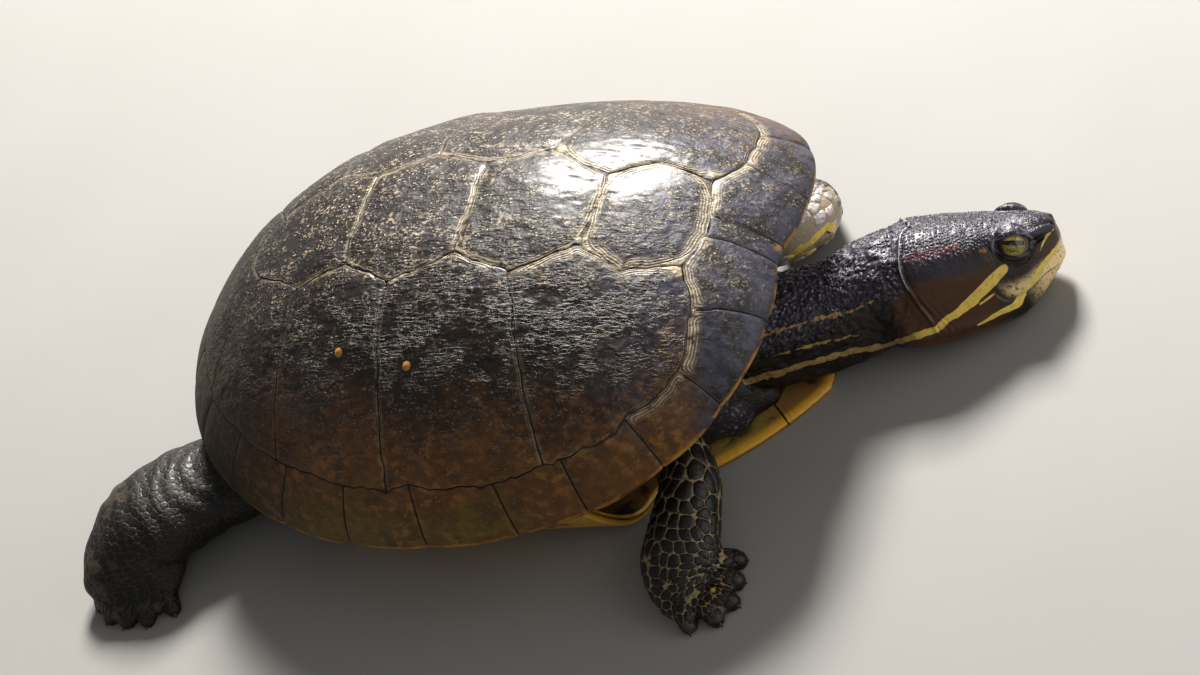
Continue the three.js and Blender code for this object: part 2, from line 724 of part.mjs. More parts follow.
// What shows of a limb: above the floor and outside the trunk, in one piece.
function outsideTrunk(body) {
  const pieces = body.intersect(ABOVE_FLOOR).subtract(trunkSpace).decompose();
  return pieces.sort((a, b) => b.volume() - a.volume())[0];
}

// A toe from its root to its tip, with a claw that curves down to the floor.
function toe(root, tip, half) {
  const forward = tip.clone().sub(root).setZ(0).normalize();
  const knuckle = root.clone().lerp(tip, KNUCKLE_PLACE);
  knuckle.z += KNUCKLE_RISE;
  const tipHalf = half * TOE_TIP_SHARE;
  const digit = ovalTube([[...root, half, half], [...knuckle, half, half], [...tip, tipHalf, tipHalf]], 2, 6);
  const clawRoot = tip.clone().addScaledVector(forward, -CLAW_ROOT_DEPTH);
  const clawMiddle = tip.clone().addScaledVector(forward, CLAW_LENGTH / 2).setZ(tip.z + CLAW_TIP);
  const clawTip = tip.clone().addScaledVector(forward, CLAW_LENGTH).setZ(CLAW_TIP);
  const claw = ovalTube([
    [...clawRoot, half * CLAW_ROOT_SHARE, half * CLAW_ROOT_SHARE],
    [...clawMiddle, half * CLAW_MIDDLE_SHARE, half * CLAW_MIDDLE_SHARE],
    [...clawTip, CLAW_TIP, CLAW_TIP],
  ], 2, 5);
  return solid(digit).add(solid(claw));
}

// A leg with its foot: one oval tube that flattens into the palm, and five toes.
function addLeg(place, leg, toes) {
  let body = solid(ovalTube(leg, 9, 12));
  for (const [rootX, rootY, tipX, tipY, half] of toes) {
    const root = new THREE.Vector3(rootX, rootY, half + 0.2);
    const tip = new THREE.Vector3(tipX, tipY, half * 0.5);
    body = body.add(toe(root, tip, half));
  }
  addNode(`leg_${place}`, geometryOf(outsideTrunk(body)), 'skin');
}

for (const [place, { leg, toes }] of Object.entries(LEGS)) addLeg(place, leg, toes);

// --- Tail ---

const tail = solid(ovalTube(TAIL_STATIONS, 9, 10));
addNode('tail', geometryOf(outsideTrunk(tail)), 'skin');

export default turtle;
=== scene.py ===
import itertools

import bpy
import numpy as np
from mathutils import Matrix


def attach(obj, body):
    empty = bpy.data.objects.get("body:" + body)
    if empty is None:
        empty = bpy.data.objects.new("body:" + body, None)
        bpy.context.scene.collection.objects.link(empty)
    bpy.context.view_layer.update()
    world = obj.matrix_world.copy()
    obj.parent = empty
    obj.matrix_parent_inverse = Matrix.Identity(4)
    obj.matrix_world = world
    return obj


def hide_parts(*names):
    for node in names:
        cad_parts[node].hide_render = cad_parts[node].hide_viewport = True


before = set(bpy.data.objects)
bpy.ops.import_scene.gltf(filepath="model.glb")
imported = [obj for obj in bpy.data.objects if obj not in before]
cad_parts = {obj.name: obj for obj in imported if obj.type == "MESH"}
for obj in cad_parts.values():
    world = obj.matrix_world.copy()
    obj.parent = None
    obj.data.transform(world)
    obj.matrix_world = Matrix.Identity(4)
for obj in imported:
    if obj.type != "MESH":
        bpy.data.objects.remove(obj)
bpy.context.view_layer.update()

# --- Carapace scutes ---
# The upper shell is bone under 38 thin plates of dark horn: five vertebrals down the back, four
# costals on each side, and the marginals round the rim with the small nuchal in front. Every plate
# has grown in rings, which show as pale ridges along its seams. Lengths are in millimetres.

MM = 0.001
SHELL_LENGTH = 210
SHELL_WIDTH = 157
SHELL_HEIGHT = 83.2
RIM_HEIGHT = 27
FRONT_RISE = 24.9
REAR_RISE = 2.9
NOTCH_DEPTH = 3
NOTCH_WIDTH = 14
FRONT_SQUARENESS = 2.69
REAR_SQUARENESS = 2.04
DOME_POWER = 2.275
DOME_ROUNDNESS = 1.34

SCUTE_THICKNESS = 1.7
SEAM_GAP = 0.06
STEEP_GAP_SHARE = 0.3
INNER_GAP = 0.0004
SEAM_WANDER = 0.7
SEAM_DEPTH = 0.3
SEAM_ROUNDING = 0.25
SEAM_SOFTNESS = 0.4
PILLOW_HEIGHT = 0.45
PILLOW_REACH = 4
RING_SPACING = 0.85
RING_HEIGHT = 0.15
RING_SOFTNESS = 3.2
RING_STRAY = 0.4
RING_JITTER = 0.14
WRINKLE_HEIGHT = 0.2
LUMP_HEIGHT = 0.5
BARNACLES = [[-19.3, -42.3, 71.0], [4.3, -47.3, 69.1]]
BARNACLE_RADIUS = 1.4
BARNACLE_HEIGHT = 0.5
INNER_STEP = 8

RIM_SEAMS = [2.3, 15.9, 33.8, 47.2, 61, 73.3, 90, 105, 120, 135, 150, 165, 180]
INNER_SEAMS = [2.8, 22.9, 34.4, 47.4, 60.4, 73.9, 90, 104, 118, 133, 148, 164, 180]
SULCUS_ANGLES = [0, 14.5, 23, 34, 60, 100, 140, 180]
SULCUS_SHARE = [0.83, 0.8, 0.86, 0.905, 0.92, 0.905, 0.88, 0.86]
MARGINAL_CLEARANCE = 0.04
RIM_DROP = 2.4
RIM_ROUND = 2.2
RIM_TUCK = 11
RIM_TUCK_DROP = 3

VERTEBRAL_EDGES = [
    [[83, 16], [67, 20], [54, 13]],
    [[54, 13], [35, 22.5], [15, 17]],
    [[15, 17], [-5, 24], [-23, 16.5]],
    [[-23, 16.5], [-39, 21.5], [-58.5, 11]],
]
VERTEBRAL_BOW = [4, 1, 1, 1, -7]
COSTAL_INNER_EDGES = [
    [[83, 16], [67, 20], [54, 13], [35, 22.5]],
    [[35, 22.5], [15, 17], [-5, 24]],
    [[-5, 24], [-23, 16.5], [-39, 21.5]],
    [[-39, 21.5], [-58.5, 11]],
]
COSTAL_ANGLES = [14.5, 63.7, 94.4, 121, 150]
# Width of the band of rings along each edge of a scute, and how pale its rings are. Vertebrals: front,
# rear, sides. Costals: front, rear, top, low. Marginals: inner edge, the last for all that follow it.
VERTEBRAL_BANDS = [
    [[4, 0.8], [2.4, 0.9], [3.6, 0.8]],
    [[2.2, 0.85], [1.4, 0.6], [2, 0.55]],
    [[1.6, 0.7], [1.2, 0.4], [1.5, 0.45]],
    [[1.3, 0.4], [1.1, 0.2], [1.3, 0.35]],
    [[1.1, 0.15], [1, 0.05], [1.1, 0.12]],
]
COSTAL_BANDS = [
    [[4.4, 0.8], [1.6, 0.22], [3, 0.8], [1.6, 0.12]],
    [[1.4, 0.22], [1.5, 0.18], [1.7, 0.55], [1, 0.05]],
    [[1.3, 0.18], [1.2, 0.14], [1.4, 0.45], [1, 0.04]],
    [[1.1, 0.12], [1, 0.04], [1.3, 0.28], [1, 0.03]],
]
MARGINAL_BANDS = [[3.4, 0.8], [3.4, 0.75], [2.8, 0.5], [1.6, 0.16], [1, 0.05]]
SIDE_SEAM_BAND = [0.7, 0.04]
# Columns of a marginal's grid: over its top, round the rim and in below. The rim's edge is at one.
TOP_COLUMNS = 56
TURN_COLUMNS = 12
TUCK_COLUMNS = 20
EDGE_COLUMN = 59
# Steps of the grids, and the distance kept where no edge is near.
VERTEBRAL_STEPS = 80, 96
COSTAL_STEPS = 104, 136
MARGINAL_STEPS = 40
NUCHAL_STEPS = 16
FAR = 9.0


def mix(first, second, share):
    """Value a share of the way from the first to the second."""
    return first + (second - first) * share


def joined(x, y, z):
    """Points from their three coordinates."""
    return np.stack(np.broadcast_arrays(x, y, z), axis=-1)


def unit(vectors):
    """Vectors scaled to length 1 along their last axis."""
    return vectors / np.maximum(np.linalg.norm(vectors, axis=-1, keepdims=True), 1e-9)


def apart(points, place):
    """Distance of points from a place."""
    return np.linalg.norm(points - place, axis=-1)


def ease(value, low, high):
    """Smooth step: 0 below low, 1 above high, 3t^2 - 2t^3 between; low may be the larger one."""
    t = np.clip((value - low) / (high - low), 0, 1)
    return t * t * (3 - 2 * t)


def hump(value, width):
    """Bell of height 1: exp(-(value / width)^2)."""
    return np.exp(-((value / width) ** 2))


def noise(points, size, seed):
    """Soft bumps from -1 to 1: a hashed value at each corner of a lattice of that cell size, blended
    across the cell by 3t^2 - 2t^3 along each axis."""
    place = points / np.asarray(size, float)
    cell = np.floor(place)
    t = place - cell
    t = t * t * (3 - 2 * t)
    cell = cell.astype(np.int64)
    total = 0
    for corner in itertools.product((0, 1), repeat=3):
        key = (cell + corner) @ np.array([73856093, 19349663, 83492791]) + seed * 7919
        key = (key ^ (key >> 13)) * 1274126177 & 0xFFFFFFFF
        key = (key ^ (key >> 16)) * 668265263 & 0xFFFFFFFF
        value = (key >> 8 & 0xFFFF) / 32767.5 - 1
        total = total + value * np.prod(np.where(corner, t, 1 - t), axis=-1)
    return total


def along(corners, share):
    """Place on a line of corners, 0 at its start and 1 at its end, with even steps per corner."""
    corners = np.asarray(corners, float)
    knots = np.linspace(0, 1, len(corners))
    return np.interp(share, knots, corners[:, 0]), np.interp(share, knots, corners[:, 1])


def rim_height(angle):
    """Height of the rim: lowest at the sides, rising with cos^2 to the front and a little behind."""
    cosine = np.cos(angle)
    return RIM_HEIGHT + np.where(cosine > 0, FRONT_RISE, REAR_RISE) * cosine**2


def outline_reach(angle):
    """Reach of the outline as a share of an ellipse, (|cos|^n + |sin|^n)^(-1/n), squarer in front."""
    cosine = np.cos(angle)
    power = np.where(cosine > 0, FRONT_SQUARENESS, REAR_SQUARENESS)
    return (np.abs(cosine) ** power + np.abs(np.sin(angle)) ** power) ** (-1 / power)


def carapace(angle, share):
    """Point of the smooth shell at an angle round and a share of the way out. Its height falls from
    the top to the rim as (1 - share^p)^(1/r), and the front edge is notched over the neck."""
    reach = outline_reach(angle) * share
    across = SHELL_WIDTH / 2 * reach * np.sin(angle)
    notch = np.where(np.cos(angle) > 0, NOTCH_DEPTH * share**4 * hump(across, NOTCH_WIDTH), 0)
    dome = np.maximum(1 - share**DOME_POWER, 0) ** (1 / DOME_ROUNDNESS)
    height = mix(rim_height(angle), SHELL_HEIGHT, dome)
    return joined(SHELL_LENGTH / 2 * reach * np.cos(angle) - notch, across, height)


def wander(x, y):
    """How far a seam strays in plan: two sizes of soft bumps, the same for both of its scutes."""
    plan = joined(x, y, 0)
    aside = SEAM_WANDER * (noise(plan, 8, 3) + 0.5 * noise(plan, 2.4, 4))
    ahead = SEAM_WANDER * (noise(plan, 8, 5) + 0.5 * noise(plan, 2.4, 6))
    return ahead, aside


def shell_above(x, y, share_kept=1):
    """Point of the shell above a place in plan, which first strays with its seams."""
    ahead, aside = wander(x, y)
    x = x + ahead * share_kept
    y = y + aside * share_kept
    angle = np.arctan2(y / SHELL_WIDTH, x / SHELL_LENGTH)
    share = np.hypot(2 * x / SHELL_LENGTH, 2 * y / SHELL_WIDTH) / outline_reach(angle)
    return carapace(angle, np.minimum(share, 1))


def sulcus(angle):
    """Share of the way out where the marginal scutes begin."""
    turned = np.degrees(np.abs(np.arctan2(np.sin(angle), np.cos(angle))))
    return np.interp(turned, SULCUS_ANGLES, SULCUS_SHARE)


def sulcus_plan(degrees):
    """Plan of the place where the marginal scutes begin."""
    point = carapace(np.radians(degrees), sulcus(np.radians(degrees)))
    return point[..., 0], point[..., 1]


def crowded(steps, crowding=0.35):
    """Places from 0 to 1 that stand closer near both ends: t - c sin(2 pi t) / (2 pi)."""
    t = np.linspace(0, 1, steps + 1)
    return t - crowding * np.sin(2 * np.pi * t) / (2 * np.pi)


def plan_grid(patch, u_steps, v_steps, gap, far_shares=(1, 1)):
    """A patch of plan on a grid, pulled in from each of its edges by the gap, and by only a share of
    it from a far edge where the shell is steep."""
    u, v = np.meshgrid(crowded(u_steps), crowded(v_steps), indexing="ij")

    def pull(near, far):
        """The gap as a share of the way from one edge to the other."""
        return gap / np.hypot(far[0] - near[0], far[1] - near[1])

    u_pull = pull(patch(0 * u, v), patch(0 * u + 1, v))
    v_pull = pull(patch(u, 0 * v), patch(u, 0 * v + 1))
    u_share, v_share = far_shares
    return patch(mix(u_pull, 1 - u_share * u_pull, u), mix(v_pull, 1 - v_share * v_pull, v))


def grid_normals(points):
    """Direction out of a grid at each point: its two directions crossed, turned away from the body."""
    normal = unit(np.cross(np.gradient(points, axis=0), np.gradient(points, axis=1)))
    middle = np.array([0, 0, SHELL_HEIGHT / 3])
    return normal * np.sign(np.sum(normal * (points - middle)))


def edge_distances(points):
    """Distance along the grid to each of its four edges: first row, last row, first and last column."""
    down = np.linalg.norm(np.diff(points, axis=0), axis=-1)
    over = np.linalg.norm(np.diff(points, axis=1), axis=-1)
    down = np.concatenate([0 * down[:1], np.cumsum(down, axis=0)])
    over = np.concatenate([0 * over[:, :1], np.cumsum(over, axis=1)], axis=1)
    return [down, down[-1:] - down, over, over[:, -1:] - over]


def soft_least(distances, softness=1.2):
    """Least of several distances, with rounded corners: -k log(sum of exp(-d / k))."""
    total = sum(np.exp(-distance / softness) for distance in distances)
    return np.maximum(-softness * np.log(total), 0)


def grid_quads(rows, columns, start=0, around=False):
    """Faces of a grid of points, row by row; with around, the last column joins the first."""
    i, j = np.meshgrid(np.arange(rows - 1), np.arange(columns if around else columns - 1), indexing="ij")
    row, after = i * columns, (j + 1) % columns
    quads = np.stack([row + j, row + columns + j, row + columns + after, row + after], -1)
    return quads.reshape(-1, 4) + start


def border(rows, columns):
    """Points round the edge of a grid, in order."""
    index = np.arange(rows * columns).reshape(rows, columns)
    return np.concatenate([index[0, :-1], index[:-1, -1], index[-1, :0:-1], index[:0:-1, 0]])


def make_mesh(name, points, *face_sets):
    """A mesh of points in millimetres and sets of faces, turned outwards by the sign of its volume."""
    volume = 0
    for faces in face_sets:
        for k in range(1, faces.shape[1] - 1):
            a, b, c = points[faces[:, 0]], points[faces[:, k]], points[faces[:, k + 1]]
            volume += np.einsum("ij,ij->", a, np.cross(b, c))
    if volume < 0:
        face_sets = [faces[:, ::-1] for faces in face_sets]
    corners = np.concatenate([faces.ravel() for faces in face_sets])
    counts = np.concatenate([np.full(len(faces), faces.shape[1]) for faces in face_sets])
    mesh = bpy.data.meshes.new(name)
    mesh.vertices.add(len(points))
    mesh.vertices.foreach_set("co", (points * MM).astype(np.float32).ravel())
    mesh.loops.add(len(corners))
    mesh.loops.foreach_set("vertex_index", corners.astype(np.int32))
    mesh.polygons.add(len(counts))
    mesh.polygons.foreach_set("loop_start", (np.cumsum(counts) - counts).astype(np.int32))
    mesh.update(calc_edges=True)
    mesh.shade_smooth()
    return mesh


def put_fields(mesh, **fields):
    """Keeps a value for each point of a mesh, for its material to read."""
    for name, values in fields.items():
        attribute = mesh.attributes.new(name, "FLOAT", "POINT")
        attribute.data.foreach_set("value", np.asarray(values, np.float32).ravel())


def add_object(name, data):
    """An object that holds a mesh, a lamp or a camera, put in the scene."""
    item = bpy.data.objects.new(name, data)
    bpy.context.scene.collection.objects.link(item)
    return item


def add_piece(name, mesh, material, slot, *nodes):
    """Puts a finished mesh in the scene as a piece of the turtle that stands for CAD nodes."""
    piece = add_object(name, mesh)
    mesh.materials.append(material)
    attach(piece, "root")
    if nodes:
        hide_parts(*nodes)
    return piece


def srgb(red, green, blue, alpha=1):
    """A colour given as it looks on a screen, 0 to 255, for a shader."""
    values = np.array([red, green, blue]) / 255
    linear = np.where(values <= 0.04045, values / 12.92, ((values + 0.055) / 1.055) ** 2.4)
    return (*linear.tolist(), alpha)


class Value:
    """What a material works out at each point, and plain arithmetic on it."""

    def __init__(self, finish, socket):
        self.finish = finish
        self.socket = socket

    def __add__(self, other):
        return self.finish.maths("ADD", self, other)

    def __mul__(self, other):
        return self.finish.maths("MULTIPLY", self, other)

    def __sub__(self, other):
        return self.finish.maths("SUBTRACT", self, other)

    def __rsub__(self, other):
        return self.finish.maths("SUBTRACT", other, self)

    __radd__ = __add__
    __rmul__ = __mul__


class Finish:
    """A material put together from nodes, its colour laid on coat by coat. Sizes of grain and depths
    are in millimetres, places in metres."""

    def __init__(self, name):
        self.material = bpy.data.materials.new(name)
        self.material.use_nodes = True
        self.tree = self.material.node_tree
        self.surface = self.tree.nodes["Principled BSDF"]
        self.place = self.put("ShaderNodeTexCoord", "Object")

    def plug(self, value, socket):
        """Links a worked-out value to a socket, or sets a plain one on it."""
        if isinstance(value, Value):
            self.tree.links.new(value.socket, socket)
        else:
            socket.default_value = value

    def put(self, kind, output, inputs=None, **settings):
        """Adds a node with its inputs and settings, and gives one of its outputs."""
        node = self.tree.nodes.new(kind)
        for key, value in settings.items():
            setattr(node, key, value)
        for key, value in (inputs or {}).items():
            self.plug(value, node.inputs[key])
        return Value(self, node.outputs[output])

    def read(self, name):
        """A field that the mesh keeps for each of its points."""
        return self.put("ShaderNodeAttribute", "Fac", attribute_name=name)

    def maths(self, operation, first, second=0.0):
        """One operation on one or two numbers."""
        return self.put("ShaderNodeMath", 0, {0: first, 1: second}, operation=operation)

    def blend(self, share, first, second):
        """Colour that goes from the first at share 0 to the second at share 1."""
        return self.put("ShaderNodeMix", 2, {0: share, 6: first, 7: second}, data_type="RGBA")

    def step(self, value, low, high):
        """Smooth step: 0 up to low and 1 from high on; low may be the larger one."""
        inputs = {"Value": value, "From Min": low, "From Max": high}
        return self.put("ShaderNodeMapRange", 0, inputs, interpolation_type="SMOOTHSTEP")

    def grain(self, size, detail=3.0, stretch=(1, 1, 1), shift=0.0):
        """Noise with bumps of that size, longer along an axis whose stretch is above 1."""
        scale = [1 / one for one in stretch]
        inputs = {"Vector": self.place, "Scale": scale, "Location": (shift, shift, shift)}
        place = self.put("ShaderNodeMapping", 0, inputs)
        inputs = {"Vector": place, "Scale": 1 / (size * MM), "Detail": detail}
        return self.put("ShaderNodeTexNoise", 0, inputs)

    def axis(self, index):
        """Place along one axis of the model, in metres."""
        return self.put("ShaderNodeSeparateXYZ", index, {0: self.place})

    def bump(self, height, depth, under=None):
        """Normals bent by a height of 0 to 1 over that depth, on top of the ones given."""
        inputs = {"Height": height, "Distance": depth * MM, "Strength": 1.0}
        if under is not None:
            inputs["Normal"] = under
        return self.put("ShaderNodeBump", 0, inputs)

    def start(self, share, first, second):
        """The first coat: two colours blended."""
        self.colour = self.blend(share, first, second)

    def lay(self, share, colour):
        """Another coat over the colour so far, as thick as its share."""
        self.colour = self.blend(share, self.colour, colour)

    def finish(self, rough, **others):
        """The material, once its colour, roughness and the other inputs named are set."""
        for name, value in {"Base_Color": self.colour, "Roughness": rough, **others}.items():
            self.plug(value, self.surface.inputs[name.replace("_", " ")])
        return self.material


HORN_DARK = srgb(29, 20, 15)
HORN_PAINTED_SKY_SHEEN = srgb(58, 56, 70)
HORN_BROWN = srgb(100, 62, 22)
HORN_OLIVE = srgb(96, 80, 26)
HORN_BLACK = srgb(18, 15, 11)
HORN_GREY = srgb(150, 134, 114)
HORN_PALE = srgb(206, 188, 154)
HORN_RUST = srgb(140, 92, 38)
DOT_TAN = srgb(176, 124, 58)
RIM_YELLOW = srgb(164, 122, 44)
RIM_ORANGE = srgb(150, 96, 36)
UNDER_YELLOW = srgb(176, 134, 54)


def horn_finish():
    """Worn horn: dark brown-black with fine lengthwise wrinkles, pale scratches and pale flecks that are
    partly painted glints, a painted bluish sky sheen in front, browner and mottled low down, pale along
    the ridges of its growth rings, yellow under the rim."""
    horn = Finish("worn_horn")
    height = horn.axis(2)
    length = horn.axis(0)
    broad = horn.grain(22, 3.0)
    patch = horn.grain(7, 4.0, shift=0.7)
    mottle = horn.grain(2.4, 2.5, stretch=(1.4, 1, 1), shift=0.5)
    dent = horn.grain(6, 2.0, shift=0.1)
    streak = horn.grain(0.8, 4.0, stretch=(4.5, 1, 1))
    scratch = horn.grain(1.0, 6.0, stretch=(1.4, 1, 1), shift=0.2)
    fleck = horn.grain(0.65, 2.0, stretch=(1.2, 1, 1), shift=0.3)
    dry = horn.step(horn.axis(1), -0.04, 0.0)
    low = height + (broad - 0.5) * 0.03
    lowness = horn.step(low, 0.072, 0.046) * horn.step(length, 0.094, 0.085) * (1.0 - dry * 0.45)
    # Painted sky sheen: a bluish slate laid in patches over the upper front of the shell.
    front = horn.step(length, 0.05, 0.085) * horn.step(patch, 0.62, 0.45) * (1.0 - lowness)
    rear = horn.step(length, -0.02, -0.075)
    wear = horn.read("wear") * (1.0 - rear * 0.6) * (0.4 + dry * 0.6)
    horn.start(lowness, HORN_DARK, HORN_BROWN)
    horn.lay(front, HORN_PAINTED_SKY_SHEEN)
    horn.lay(horn.step(low, 0.044, 0.032) * horn.step(length, 0.05, 0.02) * 0.75, HORN_OLIVE)
    horn.lay(rear * 0.8, HORN_BLACK)
    horn.lay(horn.step(mottle, 0.46, 0.62) * (0.6 - lowness * 0.35), HORN_BLACK)
    horn.lay(horn.step(patch, 0.5, 0.7) * 0.42, HORN_BLACK)
    rust = horn.step(mottle, 0.46, 0.38) * horn.step(broad, 0.36, 0.54)
    horn.lay(rust * (lowness * 0.6) * (1.0 - rear * 0.8), HORN_RUST)
    horn.lay(horn.step(scratch, 0.54, 0.6) * horn.step(dent, 0.46, 0.6) * wear, HORN_GREY)
    # Pale flecks: partly mineral deposit, partly painted glints, strongest where the top is worn.
    light = horn.step(fleck, 0.62, 0.68) * horn.step(patch, 0.38, 0.56)
    horn.lay(light * (0.12 + wear * 0.9), HORN_PALE)
    wave = horn.maths("SINE", horn.read("phase") * (2 * np.pi)) + (scratch - 0.5) * 4.0
    crest = 0.22 + horn.step(wave, -0.1, 0.7) * 0.78
    horn.lay(crest * horn.read("pale") * horn.step(mottle, 0.72, 0.5), HORN_PALE)
    horn.lay(horn.step(horn.read("seam"), 0.34, 0.1) * (0.92 - horn.read("pale") * 0.5), HORN_BLACK)
    rim_colour = horn.blend(horn.step(mottle, 0.4, 0.6), RIM_YELLOW, RIM_ORANGE)
    horn.lay(horn.step(horn.read("rim"), 1.3, 0.4) * horn.step(patch, 0.4, 0.52), rim_colour)
    horn.lay(horn.read("under"), horn.blend(horn.step(patch, 0.5, 0.58), UNDER_YELLOW, HORN_DARK))
    horn.lay(horn.step(horn.read("dot"), 1.15, 0.9), DOT_TAN)
    wrinkled = horn.step(streak, 0.38, 0.62) * horn.step(low, 0.03, 0.05)
    smooth = horn.maths("MAXIMUM", horn.read("plain"), dry * 0.5)
    normal = horn.bump(wrinkled * (1.0 - smooth) * horn.step(patch, 0.4, 0.58), 0.3)
    normal = horn.bump(dent, 0.8, under=normal)
    normal = horn.bump(mottle, 0.25, under=normal)
    normal = horn.bump(fleck, 0.14, under=normal)
    gloss = horn.step(low, 0.036, 0.058) * (1.0 - rear * 0.5)
    rough = 0.33 + streak * 0.22 + rear * 0.16 + dry * 0.07 + (1.0 - gloss) * 0.2
    return horn.finish(rough, Normal=normal, Specular_IOR_Level=0.34, Coat_Weight=0.03 + gloss * 0.15,
                       Coat_Roughness=0.2)


HORN = horn_finish()


def horn_relief(points, seam, edge, banded, plain):
    """Height over the smooth shell: rounded edges, a low pillow, growth rings as waves of the distance
    from the edge, short lengthwise wrinkles inside them, broad lumps and two barnacles. Also the
    rings' phase."""
    shape = -SEAM_DEPTH * np.exp(-seam / SEAM_ROUNDING)
    shape += PILLOW_HEIGHT * (1 - np.exp(-seam / PILLOW_REACH))
    phase = edge / RING_SPACING + RING_STRAY * noise(points, 7, 11) + RING_JITTER * noise(points, 2, 12)
    wave = np.sin(2 * np.pi * phase)
    shape += RING_HEIGHT * wave * banded * (0.7 + 0.3 * noise(points, 5, 13))
    inside = (1 - 0.85 * banded) * mix(0.4, 0.9, ease(points[..., 2], 40, 56)) * (0.3 if plain else 1)
    inside = inside * mix(1, 0.6, ease(points[..., 1], -40, 0)) * (0.65 + 0.35 * noise(points, 12, 17))
    shape += WRINKLE_HEIGHT * noise(points, (4.5, 1.3, 1.3), 14) * inside
    shape += 0.5 * WRINKLE_HEIGHT * noise(points, (2.4, 1, 1), 15) * inside
    shape += LUMP_HEIGHT * noise(points, 15, 16) * ease(seam, 0, 6)
    for place in BARNACLES:
        shape += BARNACLE_HEIGHT * ease(apart(points, place), BARNACLE_RADIUS, 0.4 * BARNACLE_RADIUS)
    return shape, phase


def horn_plate(node, base, edges, softness=RING_SOFTNESS, rim=None, under=None):
    """A plate of horn on a grid of the smooth surface, with a plainer sheet closing it below. Each
    edge is given as the distance from it, with the width and paleness of its band of rings."""
    rows, columns = base.shape[:2]
    normal = grid_normals(base)
    if rim is None:
        normal = np.where(normal[..., 2:] < 0.15, (0.0, 0.0, 1.0), normal)
    distances = [distance for distance, _ in edges]
    seam = soft_least(distances, SEAM_SOFTNESS)
    within = [ease(distance, 1.25 * band[0], 0.5 * band[0]) for distance, band in edges]
    banded = 1 - np.prod([1 - share for share in within], axis=0)
    above = ease(base[..., 2], 26, 50)
    pale = np.max([share * band[1] for share, (_, band) in zip(within, edges)], axis=0)
    pale = pale * mix(0.25, 1, above)
    relief, phase = horn_relief(base, seam, soft_least(distances, softness), banded, rim is not None)
    if under is not None:
        relief = relief * (1 - 0.8 * under)
    outer = base + normal * relief[..., None]
    inner = (base - normal * SCUTE_THICKNESS)[::INNER_STEP, ::INNER_STEP]
    inner_rows, inner_columns = inner.shape[:2]
    points = np.concatenate([outer.reshape(-1, 3), inner.reshape(-1, 3)])
    start = rows * columns
    fine = border(rows, columns)
    coarse = border(inner_rows, inner_columns) + start
    after = np.roll(fine, -1)
    apex = coarse[(np.arange(len(fine)) + INNER_STEP // 2) // INNER_STEP % len(coarse)]
    walls = np.stack([fine, apex, after], -1)
    base_walls = np.stack([coarse, np.roll(coarse, -1), fine[INNER_STEP // 2 :: INNER_STEP]], -1)
    floor = grid_quads(inner_rows, inner_columns, start)[:, ::-1]
    top = grid_quads(rows, columns)
    mesh = make_mesh(f"{node}_horn", points, top, floor, np.concatenate([walls, base_walls]))
    none = np.zeros(len(inner.reshape(-1, 3)))

    def whole(field, fill=0.0):
        """A field of the top, with one value for all of the sheet below."""
        return np.concatenate([np.broadcast_to(field, (rows, columns)).ravel(), none + fill])

    wear = ease(base[..., 2], 40, 80) * (1 - 0.7 * banded)
    dot = np.min([apart(base, place) for place in BARNACLES], axis=0) / BARNACLE_RADIUS
    put_fields(
        mesh,
        seam=whole(seam),
        phase=whole(phase),
        pale=whole(pale),
        wear=whole(wear),
        rim=whole(FAR if rim is None else rim, FAR),
        under=whole(0.0 if under is None else under),
        dot=whole(dot, FAR),
        plain=whole(0.0 if rim is None else 1.0),
    )
    add_piece(f"{node}_horn", mesh, HORN, "carapace", node)


def lay_scute(node, patch, steps, bands, far_shares=(1, 1)):
    """A vertebral or costal plate over its patch of plan."""
    base = shell_above(*plan_grid(patch, *steps, SEAM_GAP, far_shares))
    horn_plate(node, base, list(zip(edge_distances(base), bands)))


def vertebral_patch(number):
    """Plan of a vertebral: across the midline between mirrored edges, its ends bowed a little."""

    def patch(u, v):
        """Place in plan for shares u from front to rear and v from right to left."""
        across = 2 * v - 1
        x, y = along(VERTEBRAL_EDGES[number - 1], u)
        bow = mix(VERTEBRAL_BOW[number - 1], VERTEBRAL_BOW[number], u) * (1 - across**2)
        return x + bow, y * across

    return patch


def rear_fan(u, v):
    """Plan of the fifth vertebral, which spreads over the tail to the rear marginals."""
    last_x, last_y = VERTEBRAL_EDGES[3][2]
    across = 2 * v - 1
    rear_x, rear_y = sulcus_plan(180 - (180 - COSTAL_ANGLES[4]) * across)
    front_x = last_x + VERTEBRAL_BOW[4] * (1 - across**2)
    return mix(front_x, rear_x, u), mix(last_y * across, rear_y, u)


def costal_patch(number, side):
    """Plan of a costal, from the vertebrals down to the marginals."""

    def patch(u, v):
        """Place in plan for shares u from front to rear and v from top to low."""
        top_x, top_y = along(COSTAL_INNER_EDGES[number - 1], u)
        low_x, low_y = sulcus_plan(mix(COSTAL_ANGLES[number - 1], COSTAL_ANGLES[number], u))
        return mix(top_x, low_x, v), side * mix(top_y, low_y, v)

    return patch


